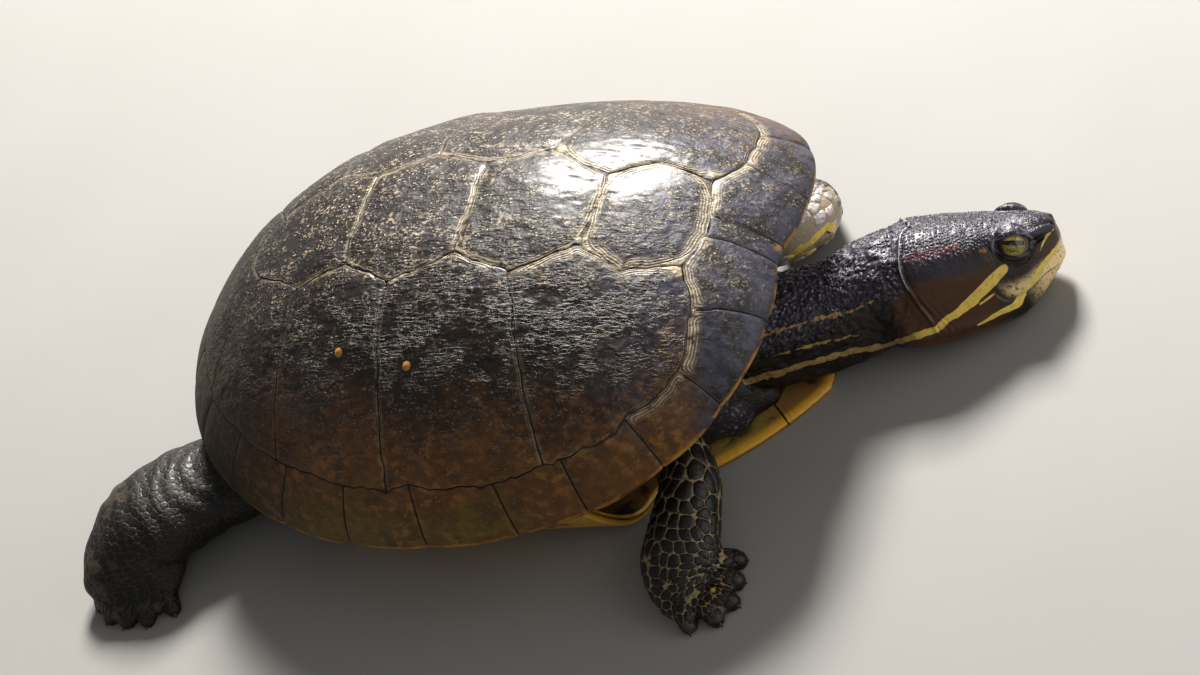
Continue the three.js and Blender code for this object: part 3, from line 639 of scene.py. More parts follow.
def marginal_grid(rim_angles, inner_angles, u_steps):
    """A marginal on a grid: from the costals out to the rim, round it on a quarter oval, and in
    below to the tuck. Also the distance from the rim's edge, and how far a point is under it."""
    columns = np.arange(TOP_COLUMNS + TURN_COLUMNS + TUCK_COLUMNS + 1)
    u, v = np.meshgrid(crowded(u_steps, 0.2), columns, indexing="ij")
    top = 1 - (1 - np.clip(v / TOP_COLUMNS, 0, 1)) ** 1.6
    turn = np.clip((v - TOP_COLUMNS) / TURN_COLUMNS, 0, 1) * np.pi / 2
    below = np.clip((v - TOP_COLUMNS - TURN_COLUMNS) / TUCK_COLUMNS, 0, 1)
    rim_angle = np.radians(mix(rim_angles[0], rim_angles[1], u))
    angle = np.radians(mix(inner_angles[0], inner_angles[1], u)) * (1 - top) + rim_angle * top
    start = sulcus(angle) + INNER_GAP
    share = mix(start, 1, top)
    x = SHELL_LENGTH / 2 * outline_reach(angle) * share * np.cos(angle)
    y = SHELL_WIDTH / 2 * outline_reach(angle) * share * np.sin(angle)
    upper = shell_above(x, y, 1 - top)
    edge = carapace(rim_angle, 1)
    inward = unit(-edge * [1, 1, 0])
    back = RIM_ROUND * (1 - np.cos(turn)) + (RIM_TUCK - RIM_ROUND) * below
    drop = RIM_DROP * np.sin(turn) + (RIM_TUCK_DROP - RIM_DROP) * below
    lower = edge + inward * back[..., None] - joined(0, 0, drop)
    grid = np.where((v <= TOP_COLUMNS)[..., None], upper, lower)
    length = edge_distances(grid)[2]
    at_rim = length[:, EDGE_COLUMN : EDGE_COLUMN + 1]
    return grid, np.abs(length - at_rim), ease(length - at_rim, 0.8, 2.4)


def lay_marginal(node, rim_angles, inner_angles, band, u_steps=MARGINAL_STEPS, rim_share=1.0):
    """A marginal plate or the nuchal, whose yellow rim is wider where rim_share is below 1."""
    base, rim, under = marginal_grid(rim_angles, inner_angles, u_steps)
    edges = list(zip(edge_distances(base), [SIDE_SEAM_BAND, SIDE_SEAM_BAND, band]))
    horn_plate(node, base, edges, 0.5, rim * rim_share, under)


for number, (front, rear, sides) in enumerate(VERTEBRAL_BANDS, 1):
    last = number == len(VERTEBRAL_BANDS)
    patch = rear_fan if last else vertebral_patch(number)
    far_shares = (STEEP_GAP_SHARE, 1) if last else (1, 1)
    lay_scute(f"vertebral_{number}", patch, VERTEBRAL_STEPS, [front, rear, sides, sides], far_shares)
for side, side_name in ((1, "left"), (-1, "right")):
    for number, bands in enumerate(COSTAL_BANDS, 1):
        name = f"costal_{side_name}_{number}"
        lay_scute(name, costal_patch(number, side), COSTAL_STEPS, bands, (1, STEEP_GAP_SHARE))
    for number in range(1, 13):
        rims = RIM_SEAMS[number - 1] + MARGINAL_CLEARANCE, RIM_SEAMS[number] - MARGINAL_CLEARANCE
        inners = INNER_SEAMS[number - 1] + MARGINAL_CLEARANCE, INNER_SEAMS[number] - MARGINAL_CLEARANCE
        band = MARGINAL_BANDS[min(number, len(MARGINAL_BANDS)) - 1]
        name = f"marginal_{side_name}_{number}"
        lay_marginal(name, [side * a for a in rims], [side * a for a in inners], band)
NUCHAL_RIM = RIM_SEAMS[0] - MARGINAL_CLEARANCE
NUCHAL_INNER = INNER_SEAMS[0] - MARGINAL_CLEARANCE
NUCHAL_YELLOW = 0.3
nuchal_edges = (-NUCHAL_RIM, NUCHAL_RIM), (-NUCHAL_INNER, NUCHAL_INNER)
lay_marginal("nuchal", *nuchal_edges, SIDE_SEAM_BAND, NUCHAL_STEPS, NUCHAL_YELLOW)


# --- Plastron ---
# The flat lower shell: six pairs of yellow horn plates with dark blotches, 3 mm thick with rounded
# free edges. It is joined to the carapace by a bridge on each side, between the legs.

PLASTRON_THICKNESS = 3
PLASTRON_FRONT = 98
PLASTRON_REAR = -90
LOBE_HALF_WIDTH = 42.5
FRONT_LOBE_START = 48
REAR_LOBE_START = -50
FRONT_LOBE_POWER = 1.45
REAR_LOBE_POWER = 2.4
LOBE_ROUNDNESS = 0.7
FRONT_LOBE_EXTRA = 2.5
REAR_LOBE_EXTRA = 2
FRONT_FLARE = 6
REAR_FLARE = 4
BRIDGE_HALF_WIDTH = 66.6
BRIDGE_FRONT = 44
BRIDGE_REAR = -42
FLAT_HALF_WIDTH = 46
BRIDGE_HEIGHT = 23.6
BRIDGE_POWER = 2.4
MIDLINE_SEAM = -1.4
PLASTRON_NAMES = ["gular", "humeral", "pectoral", "abdominal", "femoral", "anal"]
PLASTRON_MIDLINE = [PLASTRON_FRONT, 71, 54, 22, -24, -51, PLASTRON_REAR]
PLASTRON_EDGE = [PLASTRON_FRONT, 88, 57, 24, -47, -70, PLASTRON_REAR]
EDGE_ROUNDING = 2.8
NOTCH_ROUNDING = 0.5
PLATE_RING_HEIGHT = 0.06
PLATE_RING_SPACING = 1.6
PLATE_SWELL = 0.12
PLATE_STEPS = 56, 72

PLASTRON_YELLOW = srgb(218, 162, 52)
PLASTRON_DARK = srgb(40, 30, 20)
PLASTRON_OLIVE = srgb(150, 132, 62)
PLASTRON_PINK = srgb(156, 112, 66)
PLASTRON_RUST = srgb(164, 104, 34)


def plastron_half_width(x):
    """Half width of the lower shell: a lobe before and behind, each (1 - t^p)^r, and the bridges."""
    front_length = PLASTRON_FRONT + FRONT_LOBE_EXTRA - FRONT_LOBE_START
    rear_length = REAR_LOBE_START - PLASTRON_REAR + REAR_LOBE_EXTRA
    front = np.maximum((x - FRONT_LOBE_START) / front_length, 0) ** FRONT_LOBE_POWER
    rear = np.maximum((REAR_LOBE_START - x) / rear_length, 0) ** REAR_LOBE_POWER
    lobe = LOBE_HALF_WIDTH * ((1 - front) * (1 - rear)) ** LOBE_ROUNDNESS
    bridge_front = ease(x, FRONT_LOBE_START + FRONT_FLARE, BRIDGE_FRONT)
    bridge_rear = ease(x, REAR_LOBE_START - REAR_FLARE, BRIDGE_REAR)
    return mix(lobe, BRIDGE_HALF_WIDTH, np.minimum(bridge_front, bridge_rear))


def underside(x, y):
    """Point under the plastron: flat, then rising into the bridge as the distance beyond it^p."""
    beyond = np.maximum((np.abs(y) - FLAT_HALF_WIDTH) / (BRIDGE_HALF_WIDTH - FLAT_HALF_WIDTH), 0)
    return joined(x, y, BRIDGE_HEIGHT * beyond**BRIDGE_POWER)


def plastron_finish():
    """Smooth yellow horn: olive brown on the inner face, blotched with dark, glossy at the edge."""
    horn = Finish("plastron_horn")
    patch = horn.grain(9, 3.0, shift=0.4)
    broad = horn.grain(26, 2.0, shift=0.9)
    fine = horn.grain(1.6, 4.0, stretch=(3, 1, 1))
    inner = horn.blend(horn.step(broad, 0.42, 0.58), PLASTRON_OLIVE, PLASTRON_PINK)
    horn.start(horn.read("inner"), PLASTRON_YELLOW, inner)
    horn.lay(horn.step(patch, 0.54, 0.62) * horn.step(horn.read("rim"), 3, 6) * 0.8, PLASTRON_DARK)
    horn.lay(horn.step(fine, 0.5, 0.75) * 0.35, PLASTRON_RUST)
    horn.lay(horn.step(horn.read("seam"), 0.3, 0.08), PLASTRON_DARK)
    return horn.finish(0.2 + fine * 0.2, Normal=horn.bump(fine, 0.12))


PLASTRON_HORN = plastron_finish()


def rounded(distance, radius):
    """How far an edge turned on a quarter circle lies below the face beside it."""
    return radius - np.sqrt(np.maximum(radius**2 - np.maximum(radius - distance, 0) ** 2, 0))


def lay_plastron_plate(k, side, side_name):
    """One plate of the lower shell: its under side, and above it the same sheet a thickness higher,
    both turned in towards each other at the edges by a quarter circle."""

    def patch(u, v):
        """Place in plan for shares u from front to rear and v from the midline out."""
        edge_x = mix(PLASTRON_EDGE[k], PLASTRON_EDGE[k + 1], u)
        middle_x = mix(PLASTRON_MIDLINE[k], PLASTRON_MIDLINE[k + 1], u)
        return mix(middle_x, edge_x, v), mix(MIDLINE_SEAM, side * plastron_half_width(edge_x), v)

    x, y = plan_grid(patch, *PLATE_STEPS, SEAM_GAP)
    base = underside(x, y)
    before, behind, middle, outside = edge_distances(base)
    free = [outside]
    seams = [before, behind, middle]
    if k == 0:
        free, seams = [outside, before], [behind, middle]
    if k == len(PLASTRON_NAMES) - 1:
        free, seams = [outside, behind], [before, middle]
    rim = soft_least(free, 0.5)
    seam = soft_least(seams, 0.5)
    half = PLASTRON_THICKNESS / 2
    turned = half * np.minimum(rounded(rim, EDGE_ROUNDING) / EDGE_ROUNDING, 0.97)
    turned = np.maximum(turned, rounded(seam, NOTCH_ROUNDING))
    normal = grid_normals(base)
    rings = PLATE_RING_HEIGHT * np.sin(2 * np.pi * seam / PLATE_RING_SPACING) * ease(seam, 8, 3)
    swell = PLATE_SWELL * noise(base, 9, 31) * ease(rim, 0, 5)
    lower = base - normal * turned[..., None]
    upper = base - normal * (PLASTRON_THICKNESS - turned + rings + swell)[..., None]
    rows, columns = x.shape
    points = np.concatenate([lower.reshape(-1, 3), upper.reshape(-1, 3)])
    ring = border(rows, columns)
    after = np.roll(ring, -1)
    count = rows * columns
    walls = np.stack([ring, ring + count, after + count, after], -1)
    faces = [grid_quads(rows, columns), grid_quads(rows, columns, count)[:, ::-1], walls]
    name = f"{PLASTRON_NAMES[k]}_{side_name}"
    mesh = make_mesh(f"{name}_horn", points, *faces)
    both = np.tile(rim.ravel(), 2), np.tile(seam.ravel(), 2)
    inner = np.concatenate([np.zeros(count), ease(rim.ravel(), 1.5, 4)])
    put_fields(mesh, rim=both[0], seam=both[1], inner=inner)
    add_piece(f"{name}_horn", mesh, PLASTRON_HORN, "plastron", name)


for k in range(len(PLASTRON_NAMES)):
    for side, side_name in ((1, "left"), (-1, "right")):
        lay_plastron_plate(k, side, side_name)

# --- Skin: trunk, neck, head, legs and tail ---
# One hide covers all the flesh. The head and neck are a fine grid along the spine, with lids, mouth,
# nostrils and folds in it. The trunk, the legs and the tail are joined to it.

SNOUT = np.array([164.3, 33.5, 9.6])
HEAD_FORWARD = np.array([0.93050354, 0.33718247, -0.14307743])
HEAD_LEFT = np.array([-0.36605663, 0.86977579, -0.33089668])
HEAD_UP = np.array([0.01287272, 0.36027498, 0.93275733])
HEAD_LENGTH = 46
# Stations behind the snout: distance, height of crown, depth of chin, half width, squareness, and
# how much narrower the top is than the bottom.
HEAD_STATIONS = [
    [0, 2.4, 1.6, 0, 2.0, 0],
    [0.3, 6.6, -2.4, 2.7, 2.1, 0],
    [1.6, 9.9, -5.0, 5, 2.2, 0.04],
    [4.5, 12, -7.6, 7.5, 2.3, 0.08],
    [9, 13, -10.6, 10.3, 2.35, 0.12],
    [14.5, 13.6, -12.2, 12.7, 2.35, 0.12],
    [21, 15, -12.9, 14.5, 2.3, 0.1],
    [29, 16.4, -13.5, 16.1, 2.25, 0.07],
    [37, 17.4, -14, 17.1, 2.25, 0.04],
    [43, 17.8, -14.2, 17.2, 2.25, 0.02],
    [47, 17.2, -14, 16.6, 2.2, 0],
]
# Stations of the neck: distance along the spine, x, y, z, half width and half height.
NECK_STATIONS = [
    [52, 115.9, 16.5, 18.2, 15.6, 15.2],
    [66.5, 103, 10, 17.2, 14.8, 14.4],
    [80.9, 90, 4, 19, 15.2, 14.8],
    [99.6, 72, 0, 22, 16.2, 15.8],
    [119.7, 52, 0, 24, 16.6, 15.6],
]
NECK_END = 108
SPINE_COLUMNS = 208
TIP_ROWS = 20
TIP_STEP = 0.08
HEAD_ROW = 0.3
CHEEK_START = 20
CHEEK_ROW = 0.42
NECK_ROW = 0.62

EYE_RADIUS = 5.3
EYE_BACK = 13.2
EYE_SIDE = 7.2
EYE_UP = 7.6
LID_THICKNESS = 0.7
# The opening between the lids in rows and columns of the grid, and its half length and height.
OPENING_ROWS = 16
OPENING_COLUMNS = 7
OPENING_BACK = 12.3
OPENING_TURN = 34.6
OPENING_LENGTH = 5.7
OPENING_HEIGHT = 1.6
OPENING_TILT = 0.23
OPENING_REACH = 17
OPENING_RADIUS = 12.0
UPPER_LID_FLATNESS = 0.12
UPPER_LID_RINGS = 8.5
LOWER_LID_RINGS = 5
# Where an eye looks: a point behind the snout, to the side and up. Then the ripples of a lid, from its
# margin and from its crease: how far off, half width and height.
AIM_BACK = OPENING_BACK - 0.2
AIM_SIDE = 12.1
AIM_UP = 9.4
MARGIN_RIPPLES = [[0, 0.9, -0.5], [3.0, 0.6, -0.26]]
CREASE_RIPPLES = [[0, 0.7, -0.42], [2.6, 1.5, 0.16]]
JAW_SQUARENESS = 1.3
JAW_TAPER = 0.16
JAW_SAG = 0.12


def head_point(back, left, up):
    """Place at a distance behind the snout, to the left and up, in the head's own directions."""
    return SNOUT - back * HEAD_FORWARD + left * HEAD_LEFT + up * HEAD_UP


def head_place(points):
    """A point's distance behind the snout, to the left and up: head_point the other way."""
    offset = points - SNOUT
    return -offset @ HEAD_FORWARD, offset @ HEAD_LEFT, offset @ HEAD_UP


def smooth_through(knots, values, places):
    """Curve through the values at the knots: a cubic between each pair, whose slope at a knot is the
    mean of the slopes on both sides, each weighted by the other's length."""
    knots = np.asarray(knots, float)
    values = np.asarray(values, float)
    steps = np.diff(knots)
    chords = np.diff(values, axis=0) / steps[:, None]
    inner = chords[1:] * steps[:-1, None] + chords[:-1] * steps[1:, None]
    inner /= (steps[1:] + steps[:-1])[:, None]
    slopes = np.concatenate([chords[:1], inner, chords[-1:]])
    k = np.clip(np.searchsorted(knots, places) - 1, 0, len(steps) - 1)
    t = ((places - knots[k]) / steps[k])[..., None]
    step = steps[k][..., None]
    rise = values[k + 1] - values[k]
    start = slopes[k] * step
    end = slopes[k + 1] * step
    return values[k] + t * (start + t * (3 * rise - 2 * start - end + t * (start + end - 2 * rise)))


def spine_table():
    """All stations of head and neck in one table: distance, then the centre's three coordinates,
    half width, half height, squareness and taper."""
    rows = []
    for back, crown, chin, half, square, taper in HEAD_STATIONS:
        centre = head_point(back, 0, (crown + chin) / 2)
        rows.append([back, *centre, half, (crown - chin) / 2, square, taper])
    for distance, x, y, z, wide, high in NECK_STATIONS:
        rows.append([distance, x, y, z, wide, high, 2.0, 0])
    return np.array(rows, float)


SPINE = spine_table()


def spine_surface(distance, turn):
    """Skin round head and neck: a rounded oblong |c|^n + |s|^n = 1 about the spine, squarer and wider
    at the jaw, which sags to the right where the head lies tilted. Knots are taken by the root of
    the distance, so that the snout is blunt."""
    row = smooth_through(np.sqrt(SPINE[:, 0]), SPINE[:, 1:], np.sqrt(np.maximum(distance, 0)))
    centre, half, high, square, taper = row[..., :3], row[..., 3], row[..., 4], row[..., 5], row[..., 6]
    ahead = smooth_through(np.sqrt(SPINE[:, 0]), SPINE[:, 1:], np.sqrt(distance + 0.5))[..., :3]
    bent = ease(distance, 44, 60)[..., None]
    forward = unit(mix(HEAD_FORWARD, unit(centre - ahead), bent))
    level = ease(distance, 46, 88)[..., None]
    side = unit(np.cross(mix(HEAD_UP, np.array([0, 0, 1.0]), level), forward))
    up = np.cross(forward, side)
    c, s = np.cos(turn), np.sin(turn)
    low = ease(-s, 0, 0.6) * ease(distance, 4, 16) * mix(1, 0.55, ease(distance, 42, 60))
    square = square + JAW_SQUARENESS * low
    reach = (np.abs(c) ** square + np.abs(s) ** square) ** (-1 / square)
    across = half * reach * c * (1 - (taper + JAW_TAPER * low) * s)
    sag = 1 + JAW_SAG * low * ease(-c, 0, 0.6)
    return centre + side * across[..., None] + up * (high * sag * reach * s)[..., None]


def row_distances():
    """Places of the grid's rows behind the snout: fine at the tip and face, wider down the neck."""
    tip = (TIP_STEP * np.arange(1, TIP_ROWS + 1)) ** 2
    face = np.arange(tip[-1] + HEAD_ROW, CHEEK_START, HEAD_ROW)
    cheek = np.arange(CHEEK_START, HEAD_LENGTH + 2, CHEEK_ROW)
    return np.concatenate([tip, face, cheek, np.arange(HEAD_LENGTH + 2, NECK_END, NECK_ROW)])


def open_eye(distance, turn, row, column, side):
    """Moves the grid round an eye so that a ring of it follows the lids' edge: a rectangle of cells
    becomes an oval by (x sqrt(1 - y^2/2), y sqrt(1 - x^2/2)), flatter above and turned to stand
    level, and the rings round it stay beside it."""
    di = np.arange(distance.shape[0])[:, None] - row
    dj = np.arange(distance.shape[1])[None, :] - column
    ring = np.maximum(np.abs(di) - OPENING_ROWS, np.abs(dj) - OPENING_COLUMNS)
    out = np.maximum(ring, 0)
    x = di / (OPENING_ROWS + out)
    y = dj / (OPENING_COLUMNS + out)
    mesh_along = distance - OPENING_BACK
    mesh_round = (turn - turn[0, column]) * OPENING_RADIUS
    oval_along = (OPENING_LENGTH + 0.3 * out) * x * np.sqrt(1 - np.clip(y, -1, 1) ** 2 / 2)
    upper = 1 - UPPER_LID_FLATNESS * ease(side * y, 0, 0.6)
    oval_round = (OPENING_HEIGHT * upper + 0.33 * out) * y * np.sqrt(1 - np.clip(x, -1, 1) ** 2 / 2)
    tilted_along = oval_along * np.cos(OPENING_TILT) - side * oval_round * np.sin(OPENING_TILT)
    tilted_round = oval_round * np.cos(OPENING_TILT) + side * oval_along * np.sin(OPENING_TILT)
    share = ease(out, OPENING_REACH, 3)
    moved_along = distance + share * (tilted_along - mesh_along)
    moved_round = turn + share * (tilted_round - mesh_round) / OPENING_RADIUS
    near = ring < OPENING_REACH
    return np.where(near, moved_along, distance), np.where(near, moved_round, turn), ring


def eye_axis(side):
    """Middle of an eyeball, and the direction in which it looks."""
    centre = head_point(EYE_BACK, side * EYE_SIDE, EYE_UP)
    return centre, unit(head_point(AIM_BACK, side * AIM_SIDE, AIM_UP) - centre)


def from_eyes(points):
    """Distance of points from the nearer eyeball."""
    return np.minimum(apart(points, eye_axis(1)[0]), apart(points, eye_axis(-1)[0])) - EYE_RADIUS


def shape_eye(points, ring, side):
    """Lays the lids over the eyeball: a sphere a lid thicker than it, with a ripple at the margin, a
    crease and fine rings, sunk where it meets the head. Points inside the opening go behind the ball."""
    centre, look = eye_axis(side)
    offset = points - centre
    reach = np.linalg.norm(offset, axis=-1)
    angle = np.degrees(np.arccos(np.clip(offset @ look / reach, -1, 1)))
    lid = EYE_RADIUS + LID_THICKNESS
    margin = np.clip(ring, 0, 40)
    raised = ease(offset @ HEAD_UP / reach, -0.1, 0.5)
    crease = margin - mix(LOWER_LID_RINGS, UPPER_LID_RINGS, raised)
    for place, ripples in ((margin, MARGIN_RIPPLES), (crease, CREASE_RIPPLES)):
        for off, width, height in ripples:
            lid = lid + height * hump(place - off, width)
    lid = lid + 0.06 * np.sin(2.6 * margin) * ease(margin, 3, 5) * ease(margin, 16, 11)
    blend = ease(angle, 84, 56)
    sphere = mix(reach, lid, blend)
    bulge = mix(reach, np.maximum(reach, lid), ease(angle, 95, 80))
    new_reach = np.maximum(sphere, np.where(blend < 1, np.minimum(bulge, lid), sphere))
    new_reach -= 0.5 * hump(angle - 68, 5)
    new_reach += 0.35 * hump(angle - 80, 7)
    behind = np.clip(EYE_RADIUS - 0.9 - 0.05 * np.abs(np.minimum(ring, 0)), 0, None)
    new_reach = np.where(ring < 0, behind, new_reach)
    return centre + offset / reach[..., None] * new_reach[..., None]


MOUTH = [[0, -2.6], [3.5, -3], [5.6, -3], [7.7, -3.7], [10.1, -4.8], [13.1, -5.4], [15.7, -5.4],
         [18.1, -4.6], [20.8, -1.8]]
MOUTH_END = 20.8


def mouth_height(back):
    """Height of the mouth line and its slope, behind the snout."""
    knots = np.array(MOUTH, float)
    here = smooth_through(knots[:, 0], knots[:, 1:], np.clip(back, 0, MOUTH_END))[..., 0]
    there = smooth_through(knots[:, 0], knots[:, 1:], np.clip(back + 0.1, 0, MOUTH_END))[..., 0]
    return here, (there - here) / 0.1


MOUTH_DEPTH = 0.75
MOUTH_HALF_WIDTH = 0.42
LIP_HEIGHT = 0.28
JAW_STEP = 0.5
NOSTRIL = [1.7, 2.1, 9.0]
NOSTRIL_DEPTH = 1.1
NOSTRIL_RADIUS = 0.62
BROW_HEIGHT = 0.5
FOLD_HEIGHT = 0.7
LORE_DEPTH = 0.95
LORE_RIDGE_HEIGHT = 0.6
EAR_DEPTH = 0.25
# Folds behind the cheek: how far ahead of the first, and depth.
CHEEK_FOLDS = [[0.6, 0.6], [2.6, 0.5], [4.4, 0.36], [-1.6, 0.3]]
CHEEK_FOLD_LINE = [[-8, -3.5, 2.4], [36.6, 39.8, 42.6]]
# Between eye and nostril a hollow runs under a low rounded ridge: back, to the side, up, half width.
LORE_HOLLOW = [[7.4, 7.9, 7.2, 1.1], [4.8, 6.8, 7.7, 0.9], [2.4, 5, 7.5, 0.5]]
LORE_RIDGE = [[7.2, 7, 9.7, 1.0], [4.2, 5.6, 9.4, 1.2], [1.3, 3.4, 9, 0.8]]


def from_line(points, line):
    """Distance from a line of points to the edge of its band: that to its nearest piece, less the
    half width there."""
    line = np.asarray(line, float)
    start, end = line[:-1, :3], line[1:, :3]
    step = end - start
    offset = points[:, None, :] - start[None]
    share = np.clip(np.einsum("nkj,kj->nk", offset, step) / np.einsum("kj,kj->k", step, step), 0, 1)
    away = np.linalg.norm(offset - share[..., None] * step, axis=-1)
    return (away - mix(line[:-1, 3], line[1:, 3], share)).min(1)


def fold_back(side, up):
    """Where the ring fold behind the head lies: furthest back above the cheek, forward on the crown
    and the throat."""
    crown = 2.5 * ease(side, 6, 0) * ease(up, 10, 15)
    return 41 + 3.7 * hump(up - 11, 9) - crown - 0.25 * np.maximum(-up, 0)


def face_relief(points):
    """Height of the head's own details over its smooth form, a sum of humps and steps: mouth, beak,
    nostrils, brow, folds, lore, ear and fine pits."""
    back, left, up = head_place(points)
    side = np.abs(left)
    line, slope = mouth_height(back)
    off_line = (up - line) / np.sqrt(1 + slope**2)
    mouthed = ease(back, MOUTH_END + 0.8, MOUTH_END - 1.5)
    shape = -MOUTH_DEPTH * hump(off_line, MOUTH_HALF_WIDTH) * mouthed
    shape += LIP_HEIGHT * hump(off_line - 1.1, 1.0) * mouthed
    shape -= JAW_STEP * ease(off_line, 0.3, -0.3) * ease(off_line, -7, -2) * ease(back, 20, 12)
    nostril = np.hypot(np.hypot(back - NOSTRIL[0], (side - NOSTRIL[1]) * 1.1), up - NOSTRIL[2])
    shape -= NOSTRIL_DEPTH * hump(nostril, NOSTRIL_RADIUS)
    shape += 0.25 * hump(nostril - 1.2, 0.5)
    brow = np.hypot((back - 12) / 7, (side - 7.4) / 1.8) + np.maximum(8 - up, 0)
    shape += BROW_HEIGHT * hump(brow, 0.9)
    fold = back - fold_back(side, up)
    around = ease(up, -13, -6)
    shape += FOLD_HEIGHT * hump(fold, 0.3) * around
    shape -= 0.35 * hump(fold + 0.8, 0.4) * around
    shape -= 0.4 * ease(fold, 0.2, 1.2) * ease(fold, 9, 3) * around
    cheek = back - np.interp(up, *CHEEK_FOLD_LINE)
    low = ease(up, 5, 1) * ease(up, -12, -8) * ease(side, 6, 10)
    for ahead, depth in CHEEK_FOLDS:
        shape -= depth * hump(cheek + ahead, 0.34) * low
    face = np.stack([back, side, up], -1).reshape(-1, 3)
    shape -= LORE_DEPTH * ease(from_line(face, LORE_HOLLOW).reshape(back.shape), 0.3, -1.0)
    shape += LORE_RIDGE_HEIGHT * ease(from_line(face, LORE_RIDGE).reshape(back.shape), 0.4, -0.6)
    ear = np.hypot((back - 30) / 4.2, (up + 0.5) / 4) + np.maximum(6 - side, 0)
    shape -= EAR_DEPTH * hump(ear, 0.9)
    pits = ease(up, 7, 12) * ease(back, 3, 9) * ease(fold, 0, -1)
    shape += 0.1 * noise(points, 1.1, 41) * pits + 0.12 * noise(points, 2.6, 42) * (back < 46)
    return shape


def crepe(points, size, seed):
    """Net of fine creases: two soft fields whose zero lines sink in as exp(-(n / w)^2)."""
    first = hump(noise(points, size, seed), 0.16)
    second = hump(noise(points, np.asarray(size) * [0.6, 1, 1], seed + 1), 0.16)
    return -np.maximum(first, second)


def capped_tube(rows):
    """Faces of a grid of rings, closed at both ends by fans round a point at each end's middle."""
    count, around = rows.shape[:2]
    quads = grid_quads(count, around, around=True)
    points = np.concatenate([rows.reshape(-1, 3), [rows[0].mean(0), rows[-1].mean(0)]])
    ring = np.arange(around)
    after = np.roll(ring, -1)
    last = (count - 1) * around
    first_cap = np.stack([np.full(around, count * around), ring, after], -1)
    last_cap = np.stack([np.full(around, count * around + 1), last + after, last + ring], -1)
    return points, quads, np.concatenate([first_cap, last_cap])


def head_and_neck():
    """Grid of the spine's surface with the eyes opened and shaped and the face's relief on it."""
    distances = row_distances()
    turns = np.arange(SPINE_COLUMNS) * 2 * np.pi / SPINE_COLUMNS
    distance, turn = np.meshgrid(distances, turns, indexing="ij")
    row = int(np.argmin(np.abs(distances - OPENING_BACK)))
    left = round(OPENING_TURN / 360 * SPINE_COLUMNS)
    distance, turn, left_ring = open_eye(distance, turn, row, left, 1)
    distance, turn, right_ring = open_eye(distance, turn, row, SPINE_COLUMNS // 2 - left, -1)
    points = spine_surface(distance, turn)
    points = shape_eye(points, left_ring, 1)
    points = shape_eye(points, right_ring, -1)
    normal = unit(np.cross(np.gradient(points, axis=0), np.roll(points, -1, 1) - np.roll(points, 1, 1)))
    normal *= np.sign(np.sum(normal * (points - spine_surface(distance, turn).mean(1, keepdims=True))))
    seen = (np.minimum(left_ring, right_ring) >= 1) & (distance < 70)
    points = points + normal * (face_relief(points) * seen)[..., None]
    return make_mesh("head_and_neck", *capped_tube(points))


# Each leg's stations, x, y, z, half width and half height, then its toes: root x and y, tip x and y,
# and half width.
LEGS = {
    "front_right": (
        [[48, -24, 21, 10, 10], [63, -38, 19.5, 9, 9.2], [72.4, -51, 15.8, 8.4, 8.4],
         [72.6, -62, 12.2, 10.6, 8.4], [72.4, -72, 8.6, 12, 7.4], [75, -80, 4.6, 10.4, 5],
         [79, -84, 3, 8, 3.6]],
        [[79, -71, 86.8, -68.6, 2.9], [81, -76, 88.6, -76, 2.7], [81.5, -81, 89.3, -83.6, 2.6],
         [79.5, -84, 86, -89.3, 2.5], [75, -84.5, 77.8, -91.3, 2.4]],
    ),
    "front_left": (
        [[48, 24, 21, 11, 10], [62, 33, 21, 10, 9.5], [77, 41, 18, 9.5, 9], [79, 51, 12.5, 9.6, 8.4],
         [72, 59, 8, 9.4, 6.8], [65, 64, 4.2, 9.4, 4.7], [60, 66, 3, 7.4, 3.5]],
        [[66, 70, 62, 78, 2.4], [61, 71, 55, 77, 2.6], [58, 69, 50, 73, 2.6],
         [57, 65, 48, 66, 2.6], [58, 61, 49, 59, 2.4]],
    ),
    "hind_right": (
        [[-58, -24, 15, 13, 9], [-82, -35, 13.6, 15.5, 9.8], [-102, -44, 14, 18, 11.5],
         [-114, -55, 14, 19, 12], [-118, -66, 10, 18, 9.4], [-117, -73, 5.4, 15.6, 5.9],
         [-116, -79, 3, 11.5, 3.5]],
        [[-126, -73, -131, -76, 2.5], [-122, -76, -125.6, -80.6, 2.6], [-117, -78, -118.8, -82.4, 2.6],
         [-111.5, -77.5, -111.5, -82, 2.5], [-106, -74.5, -103.6, -78.4, 2.3]],
    ),
    "hind_left": (
        [[-60, 24, 15, 13, 9], [-78, 38, 13.6, 14, 9.8], [-88, 52, 12, 13, 9.6], [-88, 62, 9.5, 12, 8],
         [-87, 69, 6.6, 12, 6], [-86, 75, 4.1, 12, 4.5], [-85, 80, 3, 10, 3.5]],
        [[-94, 74, -99, 78, 2.4], [-90, 77, -93, 82, 2.6], [-85, 79, -85.5, 84, 2.6],
         [-80, 77, -78.5, 82, 2.5], [-76, 73, -72, 77, 2.3]],
    ),
}
TAIL_STATIONS = [
    [-66, 0, 13, 10, 8], [-84, -2, 12, 8.5, 7.5], [-97, -8, 8.5, 6.6, 6], [-107, -17, 4.4, 4.4, 4.3],
    [-111, -26, 2.4, 2.6, 2.7], [-112, -32, 1.1, 1, 1.2],
]
FLOOR_CLEARANCE = 0.05
LIMB_VOXEL = 0.95
TRUNK_VOXEL = 2.2
TAIL_VOXEL = 0.8
WELD_DISTANCE = 0.01
# Steps along and round.
LEG_STEPS = 60, 48
TOE_STEPS = 18, 20
TAIL_STEPS = 60, 32
KNUCKLE_PLACE = 0.55
KNUCKLE_RISE = 1
TOE_TIP_SHARE = 0.94
TOE_FATNESS = 1.16


